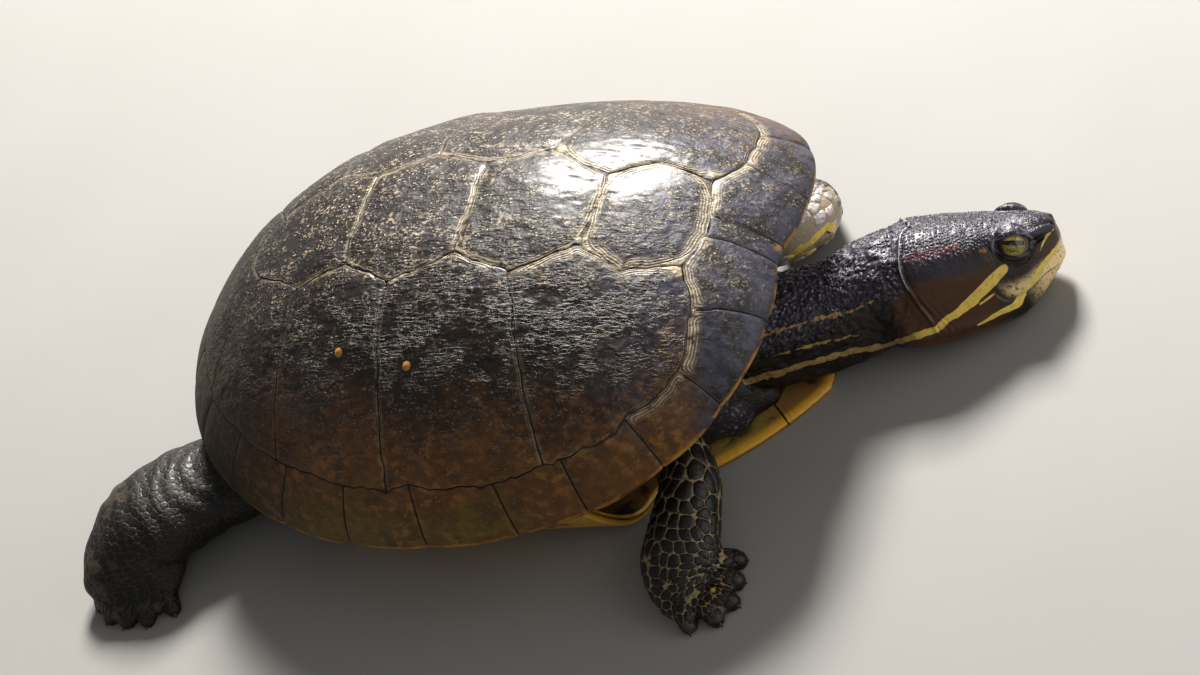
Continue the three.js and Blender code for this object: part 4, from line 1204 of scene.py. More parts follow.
def tube_frame(stations, share):
    """Centre, half sizes and directions of a limb at a share of its length: a smooth curve through
    its stations, its width level."""
    stations = np.asarray(stations, float)
    steps = np.sqrt(np.linalg.norm(np.diff(stations[:, :3], axis=0), axis=-1))
    knots = np.concatenate([[0], np.cumsum(steps)])
    knots /= knots[-1]
    row = smooth_through(knots, stations, share)
    ahead = smooth_through(knots, stations, np.minimum(share + 0.01, 1))
    behind = smooth_through(knots, stations, np.maximum(share - 0.01, 0))
    forward = unit((ahead - behind)[..., :3])
    side = unit(np.cross([0, 0, 1.0], forward))
    return row, side, np.cross(forward, side), forward


def tube_surface(stations, share, turn):
    """Skin of a limb: an oval of its half width and height about its curve."""
    row, side, up, _ = tube_frame(stations, share)
    across = row[..., 3] * np.cos(turn)
    return row[..., :3] + side * across[..., None] + up * (row[..., 4] * np.sin(turn))[..., None]


def tube_mesh(name, stations, along_steps, around_steps):
    """A limb with a round end: beyond its last station the oval closes as a quarter circle does."""
    share = np.linspace(0, 1, along_steps)
    turn = np.arange(around_steps) * 2 * np.pi / around_steps
    rings = tube_surface(stations, share[:, None], turn[None, :])
    last, _, _, forward = tube_frame(stations, np.array(1.0))
    swing = np.linspace(0.15, 1.45, 6)[:, None, None]
    tip = last[:3] + (rings[-1] - last[:3]) * np.cos(swing) + forward * last[4] * np.sin(swing)
    return make_mesh(name, *capped_tube(np.concatenate([rings, tip])))


def toe_stations(root_x, root_y, tip_x, tip_y, half):
    """A blunt toe from the palm to its tip, arched at the knuckle."""
    half = half * TOE_FATNESS
    root = np.array([root_x, root_y, half + 0.2])
    tip = np.array([tip_x, tip_y, half * 0.55])
    knuckle = mix(root, tip, KNUCKLE_PLACE) + [0, 0, KNUCKLE_RISE]
    start = root - (tip - root) * 0.5 + [0, 0, 0.6]
    end = half * TOE_TIP_SHARE
    return [[*start, half * 1.1, half], [*root, half, half], [*knuckle, half, half], [*tip, end, end * 0.92]]


def with_modifier(piece, kind, **settings):
    """Applies one modifier to a piece and keeps the mesh that it gives."""
    modifier = piece.modifiers.new(kind.lower(), kind)
    for key, value in settings.items():
        setattr(modifier, key, value)
    depsgraph = bpy.context.evaluated_depsgraph_get()
    mesh = bpy.data.meshes.new_from_object(piece.evaluated_get(depsgraph))
    piece.modifiers.clear()
    old = piece.data
    piece.data = mesh
    bpy.data.meshes.remove(old)
    return piece


def together(meshes, voxel):
    """Several closed shapes made one by a voxel remesh, then smoothed a little."""
    name = meshes[0].name
    pieces = [add_object(mesh.name, mesh) for mesh in meshes]
    first = pieces[0]
    if len(pieces) > 1:
        with bpy.context.temp_override(active_object=first, selected_editable_objects=pieces):
            bpy.ops.object.join()
    with_modifier(first, "REMESH", mode="VOXEL", voxel_size=voxel * MM, adaptivity=0)
    with_modifier(first, "SMOOTH", factor=0.5, iterations=3)
    first.name = name
    return first


def limb(name, stations, toes):
    """A leg and its toes as one closed shape."""
    meshes = [tube_mesh(name, stations, *LEG_STEPS)]
    for k, toe in enumerate(toes):
        meshes.append(tube_mesh(f"{name}_toe_{k}", toe_stations(*toe), *TOE_STEPS))
    return together(meshes, LIMB_VOXEL)


def trunk_copy():
    """The body inside the shell, from its CAD solid: corners merged, remeshed and smoothed."""
    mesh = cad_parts["trunk"].data.copy()
    mesh.name = "trunk_skin"
    piece = add_object(mesh.name, mesh)
    with_modifier(piece, "WELD", merge_threshold=WELD_DISTANCE * MM)
    with_modifier(piece, "REMESH", mode="VOXEL", voxel_size=TRUNK_VOXEL * MM, adaptivity=0)
    return with_modifier(piece, "SMOOTH", factor=0.5, iterations=4)


def mesh_points(mesh):
    """Places of a mesh's points, in millimetres."""
    points = np.empty(len(mesh.vertices) * 3, np.float32)
    mesh.vertices.foreach_get("co", points)
    return points.reshape(-1, 3).astype(float) / MM


def mesh_normals(mesh):
    """Direction out of a mesh at each of its points."""
    normals = np.empty(len(mesh.vertices) * 3, np.float32)
    mesh.vertex_normals.foreach_get("vector", normals)
    return normals.reshape(-1, 3).astype(float)


def move_points(mesh, points):
    """Puts a mesh's points at places in millimetres."""
    mesh.vertices.foreach_set("co", (points * MM).astype(np.float32).ravel())
    mesh.update()


hide = add_object("skin", head_and_neck())
others = [trunk_copy()]
others += [limb(f"leg_{place}_skin", stations, toes) for place, (stations, toes) in LEGS.items()]
others.append(together([tube_mesh("tail_skin", TAIL_STATIONS, *TAIL_STEPS)], TAIL_VOXEL))
for other in others:
    with_modifier(hide, "BOOLEAN", operation="UNION", solver="MANIFOLD", object=other)
    bpy.data.objects.remove(other)


def region(points):
    """Shares of a point that belong to the neck, to a leg, and to the tail."""
    back, _, _ = head_place(points)
    x, y, z = points[:, 0], points[:, 1], points[:, 2]
    from_middle = np.abs(y - np.interp(x, [80, 103, 130], [1, 10, 21]))
    neck = ease(back, 42, 47) * ease(x, 60, 72) * ease(from_middle, 24, 18)
    legs = ease(np.abs(y), 24, 31) * (1 - neck) * ease(x, 118, 108)
    tail = ease(x, -80, -88) * ease(np.abs(y + 12), 26, 18) * (1 - legs)
    return neck, legs, tail


def pocket(points):
    """Share of a point that belongs to the loose folds before the shoulders, under the shell."""
    neck, legs, _ = region(points)
    along_body = ease(points[:, 0], 58, 66) * ease(points[:, 0], 104, 98)
    return along_body * ease(np.abs(points[:, 1]), 6, 12) * (1 - neck) * (1 - legs)


def body_relief(points):
    """Folds of the loose skin: a net of creases on the neck, broad folds at the legs, rings on tail."""
    neck, legs, tail = region(points)
    hind = legs * ease(points[:, 0], 0, -40)
    front = legs * (1 - ease(points[:, 0], 0, -40))
    shape = neck * (0.5 * crepe(points, (6, 2, 2), 51) + 0.15 * noise(points, 1.5, 53))
    shape += neck * 0.35 * noise(points, (9, 4, 4), 54)
    shape += front * (0.35 * noise(points, 5, 55))
    away = np.hypot(points[:, 0] + 84, points[:, 1] + 36)
    shape += hind * 0.24 * np.sin(away / 1.1 + 3.4 * noise(points, 14, 56)) * ease(points[:, 2], 2, 6)
    shape += hind * 0.4 * noise(points, 8, 57)
    shape += pocket(points) * 1.4 * noise(points, (16, 2.4, 2.4), 58)
    shape += tail * 0.25 * np.sin(points[:, 0] / 0.5)
    return shape


def settle_on_floor(points):
    """Keeps the hide off the floor, flat where it rests on it."""
    lifted = points.copy()
    lifted[:, 2] = np.maximum(points[:, 2], FLOOR_CLEARANCE)
    return lifted


hide_points = mesh_points(hide.data)
hide_points = hide_points + mesh_normals(hide.data) * body_relief(hide_points)[:, None]
move_points(hide.data, settle_on_floor(hide_points))

# Markings: yellow stripes on head, neck and legs, a red patch behind each eye, a cream beak. Each is
# kept as a distance in millimetres from its edge, below zero inside, so that its edge stays sharp.
# A line's points are distance behind the snout, to the side, up, and half width.
HEAD_STRIPES = [
    [[16.5, 12.3, 3.4, 1.2], [19.9, 13.8, 1.7, 1.5], [23.7, 15.2, -0.3, 1.6], [27.5, 16.2, -2.4, 1.5],
     [31.3, 17, -4.3, 1.15], [34.9, 17.7, -5.4, 0.95], [38.2, 18, -7.2, 1.0]],
    [[38.2, 18, -7.2, 0.8], [43.1, 17.6, -8.2, 0.75], [47.6, 16, -9.2, 0.75], [52.3, 12.5, -11.1, 0.7]],
    [[1.1, 3.6, 3.1, 0.5], [2.8, 5.9, 2.3, 0.7], [6.2, 8.7, 0.1, 0.7], [8.8, 10.6, -2.2, 0.85],
     [10.6, 11.6, -4.1, 1.1], [13.4, 13.5, -5.6, 1.2], [15, 13.5, -7.2, 1.2], [17.2, 14.6, -7.7, 0.9],
     [19.8, 15.4, -7.9, 0.8], [23.5, 16.1, -8.9, 0.6], [27.5, 16.6, -9.8, 0.4]],
    [[6.4, 8.4, 3.6, 0.1], [5.9, 8.2, 4.6, 0.25], [4.7, 7.2, 6.1, 0.3], [3.3, 5.3, 7.1, 0.3],
     [1.1, 3.1, 7.7, 0.2]],
    [[25.4, 16.1, -3.9, 0.2], [21.9, 15.3, -2.6, 0.3], [20.6, 14.9, -2.2, 0.15]],
]
# The other lines are places in the animal: x, y, z, half width.
BODY_STRIPES = [
    [[119.6, 4.1, 25.9, 0.2], [112.1, 0.9, 25, 0.4], [104, -1.9, 26.5, 0.45], [96.4, -6, 28.2, 0.5],
     [84, -10.5, 28.6, 0.5]],
    [[112.9, -1.6, 17.8, 0.2], [105.3, -5.1, 20.1, 0.4], [97.5, -8.6, 21.9, 0.45], [84, -12.8, 22.6, 0.5]],
    [[134.7, 2, 14.1, 1.0], [130.5, 0.8, 13.9, 1.0], [125.8, 0.2, 13.1, 1.1], [120, 1, 10.8, 1.3],
     [117, 0.1, 10.6, 1.3], [111.3, -3.1, 13.1, 1.0], [103.3, -6.6, 14.5, 1.0],
     [95.1, -9.7, 15.8, 1.1], [86.4, -12.9, 15.9, 1.2], [78, -14, 15.5, 1.2]],
    [[122, 31, 6, 0.6], [112, 28.5, 8, 0.55], [102, 24.5, 10, 0.5], [92, 19.8, 12, 0.5], [80, 17, 14, 0.5]],
    [[118, 33, 20, 0.2], [108, 26, 23, 0.35], [96, 19.6, 26, 0.35], [84, 16, 26, 0.3]],
    [[80.6, 32, 16.6, 1.3], [82.9, 33.8, 17, 1.3], [86.6, 38.6, 16.6, 0.9], [88.4, 43.3, 15.6, 1.1],
     [87.8, 46.4, 10, 0.9]],
    [[82, 33, 14.6, 1.2], [85, 38, 10.6, 0.9], [86, 43, 8.4, 0.9]],
]
# A thin line runs down the top of each toe of the right forefoot.
TOE_LINES = [[[x, y, 2 * half, 0.4], [mix(x, tip_x, 0.5), mix(y, tip_y, 0.5), 1.9 * half + 0.6, 0.55],
              [mix(x, tip_x, 0.85), mix(y, tip_y, 0.85), 1.5 * half, 0.35]]
             for x, y, tip_x, tip_y, half in LEGS["front_right"][1]]
RED_PATCH = [[28.7, 11, 12.6, 0.9], [31.2, 11.6, 12.8, 1.5], [35.5, 12.2, 13, 1.9], [39.7, 12.4, 13.4, 1.5],
             [43, 12.8, 13.2, 0.7]]
FAINT_RED = [[20.9, 11, 9.6, 0.5], [25.2, 11.9, 10.4, 0.9], [28.1, 12.1, 11.6, 0.7]]
ORANGE_SPOT = [[20.6, 10.9, 9.5, 0.7], [21.8, 11.2, 9.8, 0.5]]
TEMPLE = [[39, 15, 9.5, 1.4], [31, 14.2, 8.4, 1.8], [24, 13.6, 6.6, 1.4]]
ARM_GLARE_CENTRE = np.array([82, 40, 22])
BROWN_ARM = np.array([86.8, 40.6, 12.6])
TOE_TIPS = np.array([[*toe[2:4], toe[4] * 0.6] for _, toes in LEGS.values() for toe in toes])


def markings(points):
    """All marks at some points of skin, as fields for the material: distances from the edges of lines,
    and shares of regions that fade out by smooth steps."""
    back, left, up = head_place(points)
    face = np.stack([back, np.abs(left), up], -1)
    on_head = ease(back, 52, 46)
    stripe = np.full(len(points), FAR)
    for line in HEAD_STRIPES:
        stripe = np.minimum(stripe, mix(FAR, from_line(face, line), on_head))
    for line in BODY_STRIPES + TOE_LINES:
        stripe = np.minimum(stripe, from_line(points, line))
    stripe += mix(0.5, 0.22, on_head) * noise(points, 1.6, 61)
    rough_edge = 0.8 * noise(points, 2.4, 62) + 0.5 * noise(points, 0.9, 63)
    red = ease(from_line(face, RED_PATCH) + rough_edge, 0.9, -1.1)
    red = np.maximum(red, 0.45 * ease(from_line(face, FAINT_RED) + rough_edge, 0.6, -0.9)) * on_head
    orange = ease(from_line(face, ORANGE_SPOT) + 0.4 * rough_edge, 0.3, -0.4) * on_head
    temple = ease(from_line(face, TEMPLE), 1.6, -1) * on_head
    line, slope = mouth_height(back)
    mouth = ease(np.abs(up - line) / np.sqrt(1 + slope**2), 0.38, 0.12)
    mouth = mouth * ease(back, MOUTH_END + 0.5, MOUTH_END - 2)
    beak_height = np.interp(back, [0, 2, 5, 14], [6.6, 5.6, 3, 3.4])
    beak = ease(back, 13, 5) * ease(up - line - beak_height, 1, -0.8) * ease(up - line, -8, -4)
    jaw = ease(back, 20, 15) * ease(back, 3, 7) * ease(up - line, 5.6, 2.6) * ease(up - line, -0.3, 0.3)
    beak = np.maximum(beak, 0.8 * jaw)
    fold = np.abs(back - fold_back(np.abs(left), up)) + 9 * ease(up, 6, 1) + 9 * (1 - on_head)
    eye = np.minimum(from_eyes(points), 99) + 2 * ease(up, EYE_UP + 3.6, EYE_UP + 5)
    # upper: share above the eye, where the lid takes a painted highlight.
    upper = ease(up, EYE_UP, EYE_UP + 2)
    blade = ease(from_line(face, LORE_RIDGE), 0.7, -0.3)
    # Painted shade: the hollow under the lore ridge and, more faintly, the mouth line are marked to be laid
    # black.
    shaded_hollow = ease(from_line(face, LORE_HOLLOW), 0.5, -0.5) * (1 - blade)
    shaded_hollow = np.maximum(shaded_hollow, 0.75 * mouth)
    temple = np.maximum(temple, blade)
    neck, legs, tail = region(points)
    # crown: share of the crown, the neck's top and the pocket folds, which take grey with a painted sheen.
    crown = ease(up, 9, 13) * ease(back, 0, 4) * on_head
    crown = np.maximum(crown, neck * ease(points[:, 2], 22, 29))
    cheek = on_head * ease(up, 9, 5) * (ease(back, 15, 24) + 0.6 * ease(back, 12, 8))
    brown_arm = ease(apart(points, BROWN_ARM), 5.4, 3.6)
    cheek = np.maximum(cheek, brown_arm)
    crown = np.maximum(crown, 0.7 * pocket(points))
    throat = ease(up, -11, -12.4) * on_head + neck * ease(points[:, 2], 10, 7) * ease(points[:, 0], 106, 114)
    from_tip = apart(points[:, None], TOE_TIPS[None]).min(1)
    on_limb = np.zeros(len(points))
    for path in [path for path, _ in LEGS.values()] + [TAIL_STATIONS]:
        on_limb = np.maximum(on_limb, ease(from_line(points, path), 3, 0.5))
    limb_share = np.maximum(legs, tail) * on_limb * mix(0.2, 1, ease(from_tip, 2.6, 4.6))
    # Painted sunlit glare: the upper left arm is laid pale, fading out from a point on it, except on its
    # brown patch.
    arm_glare = ease(apart(points, ARM_GLARE_CENTRE), 23, 9) * legs * (1 - brown_arm)
    return {"stripe": stripe, "red": red, "orange": orange, "temple": temple, "beak": beak, "fold": fold,
            "lid": eye, "crown": crown, "cheek": cheek, "throat": throat, "limb": limb_share,
            "neck": neck, "arm_glare": arm_glare, "upper": upper, "shaded_hollow": shaded_hollow}


SKIN_BLACK = srgb(14, 10, 8)
SKIN_BROWN = srgb(30, 21, 14)
GREY_SKIN_AND_SHEEN = srgb(50, 46, 58)
PAINTED_GLINT_GREY = srgb(150, 146, 156)
SKIN_SLATE = srgb(38, 34, 50)
CHEEK_BROWN = srgb(74, 45, 20)
STRIPE_YELLOW = srgb(224, 192, 84)
STRIPE_DULL = srgb(152, 122, 72)
BAND_PALE = srgb(206, 184, 96)
PATCH_RED = srgb(114, 58, 52)
SPOT_ORANGE = srgb(170, 116, 48)
BEAK_CREAM = srgb(230, 202, 146)
BEAK_BROWN = srgb(128, 94, 54)
LID_PURPLE_AND_HIGHLIGHT = srgb(110, 100, 114)
LID_DARK = srgb(34, 25, 20)
THROAT_ORANGE = srgb(100, 56, 28)
FOLD_PALE = srgb(186, 176, 184)
CRACK_PALE = srgb(144, 126, 88)
ARM_GLARE_WHITE = srgb(226, 218, 208)
ARM_GLARE_LILAC = srgb(170, 160, 164)
ARM_GAP_GLARE = srgb(160, 146, 126)


def skin_finish(name, scaled):
    """Moist dark hide: black-brown, greyer and granular on the crown with a painted purple-grey sheen and
    painted glints, brown on the cheek, with its yellow and red marks, painted shade in the lore hollows,
    mouth line and lid creases, a painted highlight on the upper lids and a painted sunlit glare on the
    left arm. Scales are a little blacker with thin pale edges, the skin between them pale."""
    skin = Finish(name)
    broad = skin.grain(9, 3.0)
    fine = skin.grain(1.1, 4.0)
    tiny = skin.grain(0.45, 2.0)
    rear = skin.step(skin.axis(0), -0.02, -0.07)
    forward = 0.85 - rear * 0.72
    skin.start(skin.step(broad, 0.38, 0.64), SKIN_BLACK, SKIN_BROWN)
    skin.lay(skin.read("cheek") * 0.85, CHEEK_BROWN)
    skin.lay(skin.read("temple") * 0.7, SKIN_SLATE)
    # Crown, neck top and pocket folds go grey: on the crown and neck top partly the skin's own tone, partly
    # a painted purple-grey sheen.
    skin.lay(skin.read("crown") * 0.85, GREY_SKIN_AND_SHEEN)
    # Painted glints: pale grey specks laid over the crown and the neck's top.
    skin.lay(skin.read("crown") * skin.step(fine, 0.56, 0.66) * 0.7, PAINTED_GLINT_GREY)
    skin.lay(rear * 0.5, SKIN_BLACK)
    if scaled:
        skin.lay(skin.read("limb") * 0.3, SKIN_BLACK)
        # Painted sunlit glare on the left arm's scales, pale white and lilac.
        arm = skin.blend(skin.step(fine, 0.4, 0.6), ARM_GLARE_LILAC, ARM_GLARE_WHITE)
        skin.lay(skin.read("arm_glare") * 0.9, arm)
        skin.lay(skin.step(skin.read("rim"), 0.94, 0.995) * skin.read("limb") * forward, CRACK_PALE)
    else:
        skin.lay(skin.read("limb") * skin.step(fine, 0.3, 0.5) * forward, CRACK_PALE)
        # Painted sunlit glare on the skin between the left arm's scales.
        skin.lay(skin.read("arm_glare") * 0.8, ARM_GAP_GLARE)
    throat = skin.blend(skin.step(broad, 0.45, 0.6), THROAT_ORANGE, SKIN_BROWN)
    skin.lay(skin.read("throat") * 0.6, throat)
    skin.lay(skin.read("red") * skin.step(tiny, 0.7, 0.4) * 0.75, PATCH_RED)
    skin.lay(skin.read("orange") * 0.85, SPOT_ORANGE)
    mottle = skin.blend(skin.step(fine, 0.52, 0.68), BEAK_CREAM, BEAK_BROWN)
    skin.lay(skin.read("beak") * skin.step(broad, 0.22, 0.4), mottle)
    # Painted shade: black in the lore hollow and along the mouth line.
    skin.lay(skin.read("shaded_hollow"), SKIN_BLACK)
    lid = skin.step(skin.read("lid"), 1.4, 0.95)
    # Painted highlight: the upper lid is laid a pale purple-grey for the light on the wet lid, the lower lid
    # stays dark.
    lid_colour = skin.blend(skin.read("upper"), LID_DARK, LID_PURPLE_AND_HIGHLIGHT)
    # Painted shade: black in the sunken creases and margins of the lids.
    skin.lay(lid, skin.blend(skin.step(skin.read("lid"), 0.56, 0.36), lid_colour, SKIN_BLACK))
    skin.lay(skin.step(skin.read("fold"), 0.28, 0.1), FOLD_PALE)
    bright = skin.blend(skin.read("neck"), STRIPE_YELLOW, STRIPE_DULL)
    bright = skin.blend(skin.read("beak"), bright, BAND_PALE)
    pale = skin.blend(skin.step(fine, 0.45, 0.8) * 0.6, bright, STRIPE_DULL)
    skin.lay(skin.step(skin.read("stripe"), 0.14, -0.08), pale)
    rough = 0.22 + fine * 0.26 - lid * 0.12 + rear * 0.2
    relief = (fine + tiny * 0.6) * (1.0 - (skin.read("cheek") + lid) * 0.75)
    return skin.finish(rough, Normal=skin.bump(relief, 0.3), Specular_IOR_Level=0.32, Coat_Weight=0.12,
                       Coat_Roughness=0.18)


SKIN = skin_finish("moist_skin", False)
put_fields(hide.data, **markings(mesh_points(hide.data)))
hide.data.materials.clear()
hide.data.materials.append(SKIN)
hide.data.shade_smooth()
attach(hide, "root")
LEG_NODES = [f"leg_{place}" for place in LEGS]
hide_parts("head", "neck", "trunk", "tail", *LEG_NODES)

# --- Eyes ---
# Each eyeball is a glossy ball, yellow-green round a dark pupil, with a dark bar across it that also holds
# painted shade from the upper lid.

IRIS_GREEN = srgb(150, 146, 60)
IRIS_OLIVE = srgb(84, 78, 34)
IRIS_GOLD = srgb(124, 96, 42)
IRIS_BROWN = srgb(46, 32, 20)
EYE_DARK = srgb(14, 11, 9)
IRIS_REACH = 2.9
BAR_RISE = 0.8
BAR_AND_SHADOW_HALF_WIDTH = 0.75
BAR_HALF_LENGTH = 3.4
BAR_SHIFT = 0.5
PUPIL_DROP = 1.5
PUPIL_HALF_HEIGHT = 0.14
PUPIL_HALF_LENGTH = 1.4
BALL_CLEARANCE = 0.12
CORNEA_BULGE = 0.1
BALL_SIDES = 96
BALL_RINGS = 89
POLE_GAP = 0.03


def eye_finish():
    """Iris of a yellow-green ring, golden round its edge, under a dark bar widened by painted shade from the
    upper lid, and brown beyond.
    """
    eye = Finish("wet_eye")
    out = eye.read("out")
    streak = eye.grain(0.5, 3.0)
    green = eye.blend(eye.step(streak, 0.4, 0.65), IRIS_GREEN, IRIS_OLIVE)
    eye.start(eye.step(out, IRIS_REACH - 0.6, IRIS_REACH), green, IRIS_GOLD)
    eye.lay(eye.step(out, IRIS_REACH + 0.1, IRIS_REACH + 0.6), IRIS_BROWN)
    eye.lay(eye.step(eye.read("bar"), 0.12, -0.12), EYE_DARK)
    return eye.finish(0.1 + streak * 0.04, Normal=eye.bump(streak, 0.02), Coat_Weight=0.15,
                      Coat_Roughness=0.03)


WET_EYE = eye_finish()


def add_eye(side, side_name):
    """Eyeball on a polar grid about the way it looks, its front bulged a little by the cornea."""
    centre, look = eye_axis(side)
    level = unit(HEAD_FORWARD - look * (HEAD_FORWARD @ look))
    up = np.cross(level, look)
    up *= np.sign(up @ HEAD_UP)
    cosine, sine = np.cos(OPENING_TILT), np.sin(OPENING_TILT)
    level, up = level * cosine - up * sine, up * cosine + level * sine
    angle = crowded(BALL_RINGS)[:, None] * (np.pi - 2 * POLE_GAP) + POLE_GAP
    turn = (np.arange(BALL_SIDES) * 2 * np.pi / BALL_SIDES)[None, :]
    radius = EYE_RADIUS - BALL_CLEARANCE + CORNEA_BULGE * hump(angle, 0.5)
    sideways = (radius * np.sin(angle) * np.cos(turn))[..., None] * level
    upward = (radius * np.sin(angle) * np.sin(turn))[..., None] * up
    grid = centre + (radius * np.cos(angle) + 0 * turn)[..., None] * look + sideways + upward
    mesh = make_mesh(f"eye_{side_name}_ball", *capped_tube(grid))
    offset = mesh_points(mesh) - centre
    front = (offset @ look > 0) * 1.0
    across, rise = offset @ level, offset @ up
    # The dark bar is drawn wider than the real bar, to take in painted shade from the upper lid.
    bar = np.abs(rise - BAR_RISE) - BAR_AND_SHADOW_HALF_WIDTH * (1 - (across / 6) ** 2)
    bar = np.maximum(bar, np.abs(across + BAR_SHIFT) - BAR_HALF_LENGTH)
    pupil = np.maximum(np.abs(rise + PUPIL_DROP) - PUPIL_HALF_HEIGHT, np.abs(across) - PUPIL_HALF_LENGTH)
    bar = np.minimum(bar, pupil)
    put_fields(mesh, out=mix(FAR, np.hypot(across, rise), front), bar=mix(FAR, bar, front))
    add_piece(f"eye_{side_name}_ball", mesh, WET_EYE, "eye", f"eye_{side_name}")


add_eye(1, "left")
add_eye(-1, "right")

# --- Scales on legs, feet and tail, granules on crown and neck ---
# Hard black scales, largest down the front of the forearm and small on the feet, and fine granules on
# the crown and neck. Each is a low many-sided dome that stands in the hide.

SCALE_SIDES = 12
GRANULE_SIDES = 8
SCALE_GAP = 0.035
SCALE_JITTER = 0.45
GRANULE_JITTER = 0.85
PATCH_SIZE = 0.003
ROW_STEP = 0.86
NEIGHBOURS = 14
SMALLEST_REACH = 0.2
LARGEST_SHARE = 0.72
FURTHEST_MOVE = 2.6
NARROWEST = 0.15
LOWEST = 0.3
FOOT_SHARE = 1.3
SHELL_SHARE = 0.66
EYE_CLEARANCE = 2.4
# Rings of a scale: share of its reach, and height as a share of its own.
SCALE_RINGS = [[1, -0.4], [0.965, 0.3], [0.7, 0.86]]
GRANULE_RINGS = [[1, -0.8], [0.72, 0.7]]


def scale_rows(length, radius_at, widths, crowd=0.0, front=0.0, seed=1, jitter=SCALE_JITTER):
    """Centres of scales on a limb rolled out flat: rows across it, each half a scale over from the
    last, with their widths at even steps along it. Each turn t becomes t - crowd sin(t - front), so
    they stand closest at the front. Returns shares along, turns round and sizes."""

    def girth(share):
        """Way round the limb."""
        return 2 * np.pi * float(radius_at(np.float64(share)))

    shares, turns, sizes = [], [], []
    place, row = 0.0, 0
    while place < length:
        share = place / length
        size = float(np.interp(share, np.linspace(0, 1, len(widths)), widths))
        count = max(int(round(girth(share) / size)), 5)
        turn = 2 * np.pi * (np.arange(count) + 0.5 * (row % 2)) / count
        shares.append(np.full(count, share))
        turns.append(turn - crowd * np.sin(turn - front))
        sizes.append(np.full(count, size))
        place += ROW_STEP * size
        row += 1
    share, turn, size = np.concatenate(shares), np.concatenate(turns), np.concatenate(sizes)
    plan = joined(share * length, 7 * turn, 0)
    share = share + jitter * size / length * noise(plan, 1.3, seed)
    turn = turn + jitter * size / girth(0.5) * 2 * np.pi * noise(plan, 1.3, seed + 1)
    return share, turn, size


def scale_cells(share, turn, size, length, radius_at, sides, gap):
    """Outline of each scale as reaches in a fan of directions: half way to the nearest neighbour in
    each, less the gap. Neighbours are measured on the limb rolled out flat."""
    radius = radius_at(share)
    ahead = (share[None, :] - share[:, None]) * length
    round_way = np.angle(np.exp(1j * (turn[None, :] - turn[:, None]))) * radius[:, None]
    distance = np.hypot(ahead, round_way)
    np.fill_diagonal(distance, np.inf)
    near = np.argsort(distance, axis=1)[:, :NEIGHBOURS]
    rows = np.arange(len(share))[:, None]
    ahead, round_way, distance = ahead[rows, near], round_way[rows, near], distance[rows, near, None]
    angles = np.arange(sides) * 2 * np.pi / sides
    facing = (ahead[..., None] * np.cos(angles) + round_way[..., None] * np.sin(angles)) / distance
    reach = np.where(facing > 0.2, distance / 2 / np.maximum(facing, 0.2), np.inf).min(1)
    return np.clip(reach, SMALLEST_REACH, size[:, None] * LARGEST_SHARE) - gap, angles


def lay_on_hide(points):
    """Points moved to the nearest place on the hide."""
    mesh = bpy.data.meshes.new("laid")
    mesh.from_pydata((points.reshape(-1, 3) * MM).tolist(), [], [])
    piece = add_object("laid", mesh)
    with_modifier(piece, "SHRINKWRAP", target=hide, wrap_method="NEAREST_SURFACEPOINT")
    laid = mesh_points(piece.data).reshape(points.shape)
    bpy.data.objects.remove(piece)
    return laid


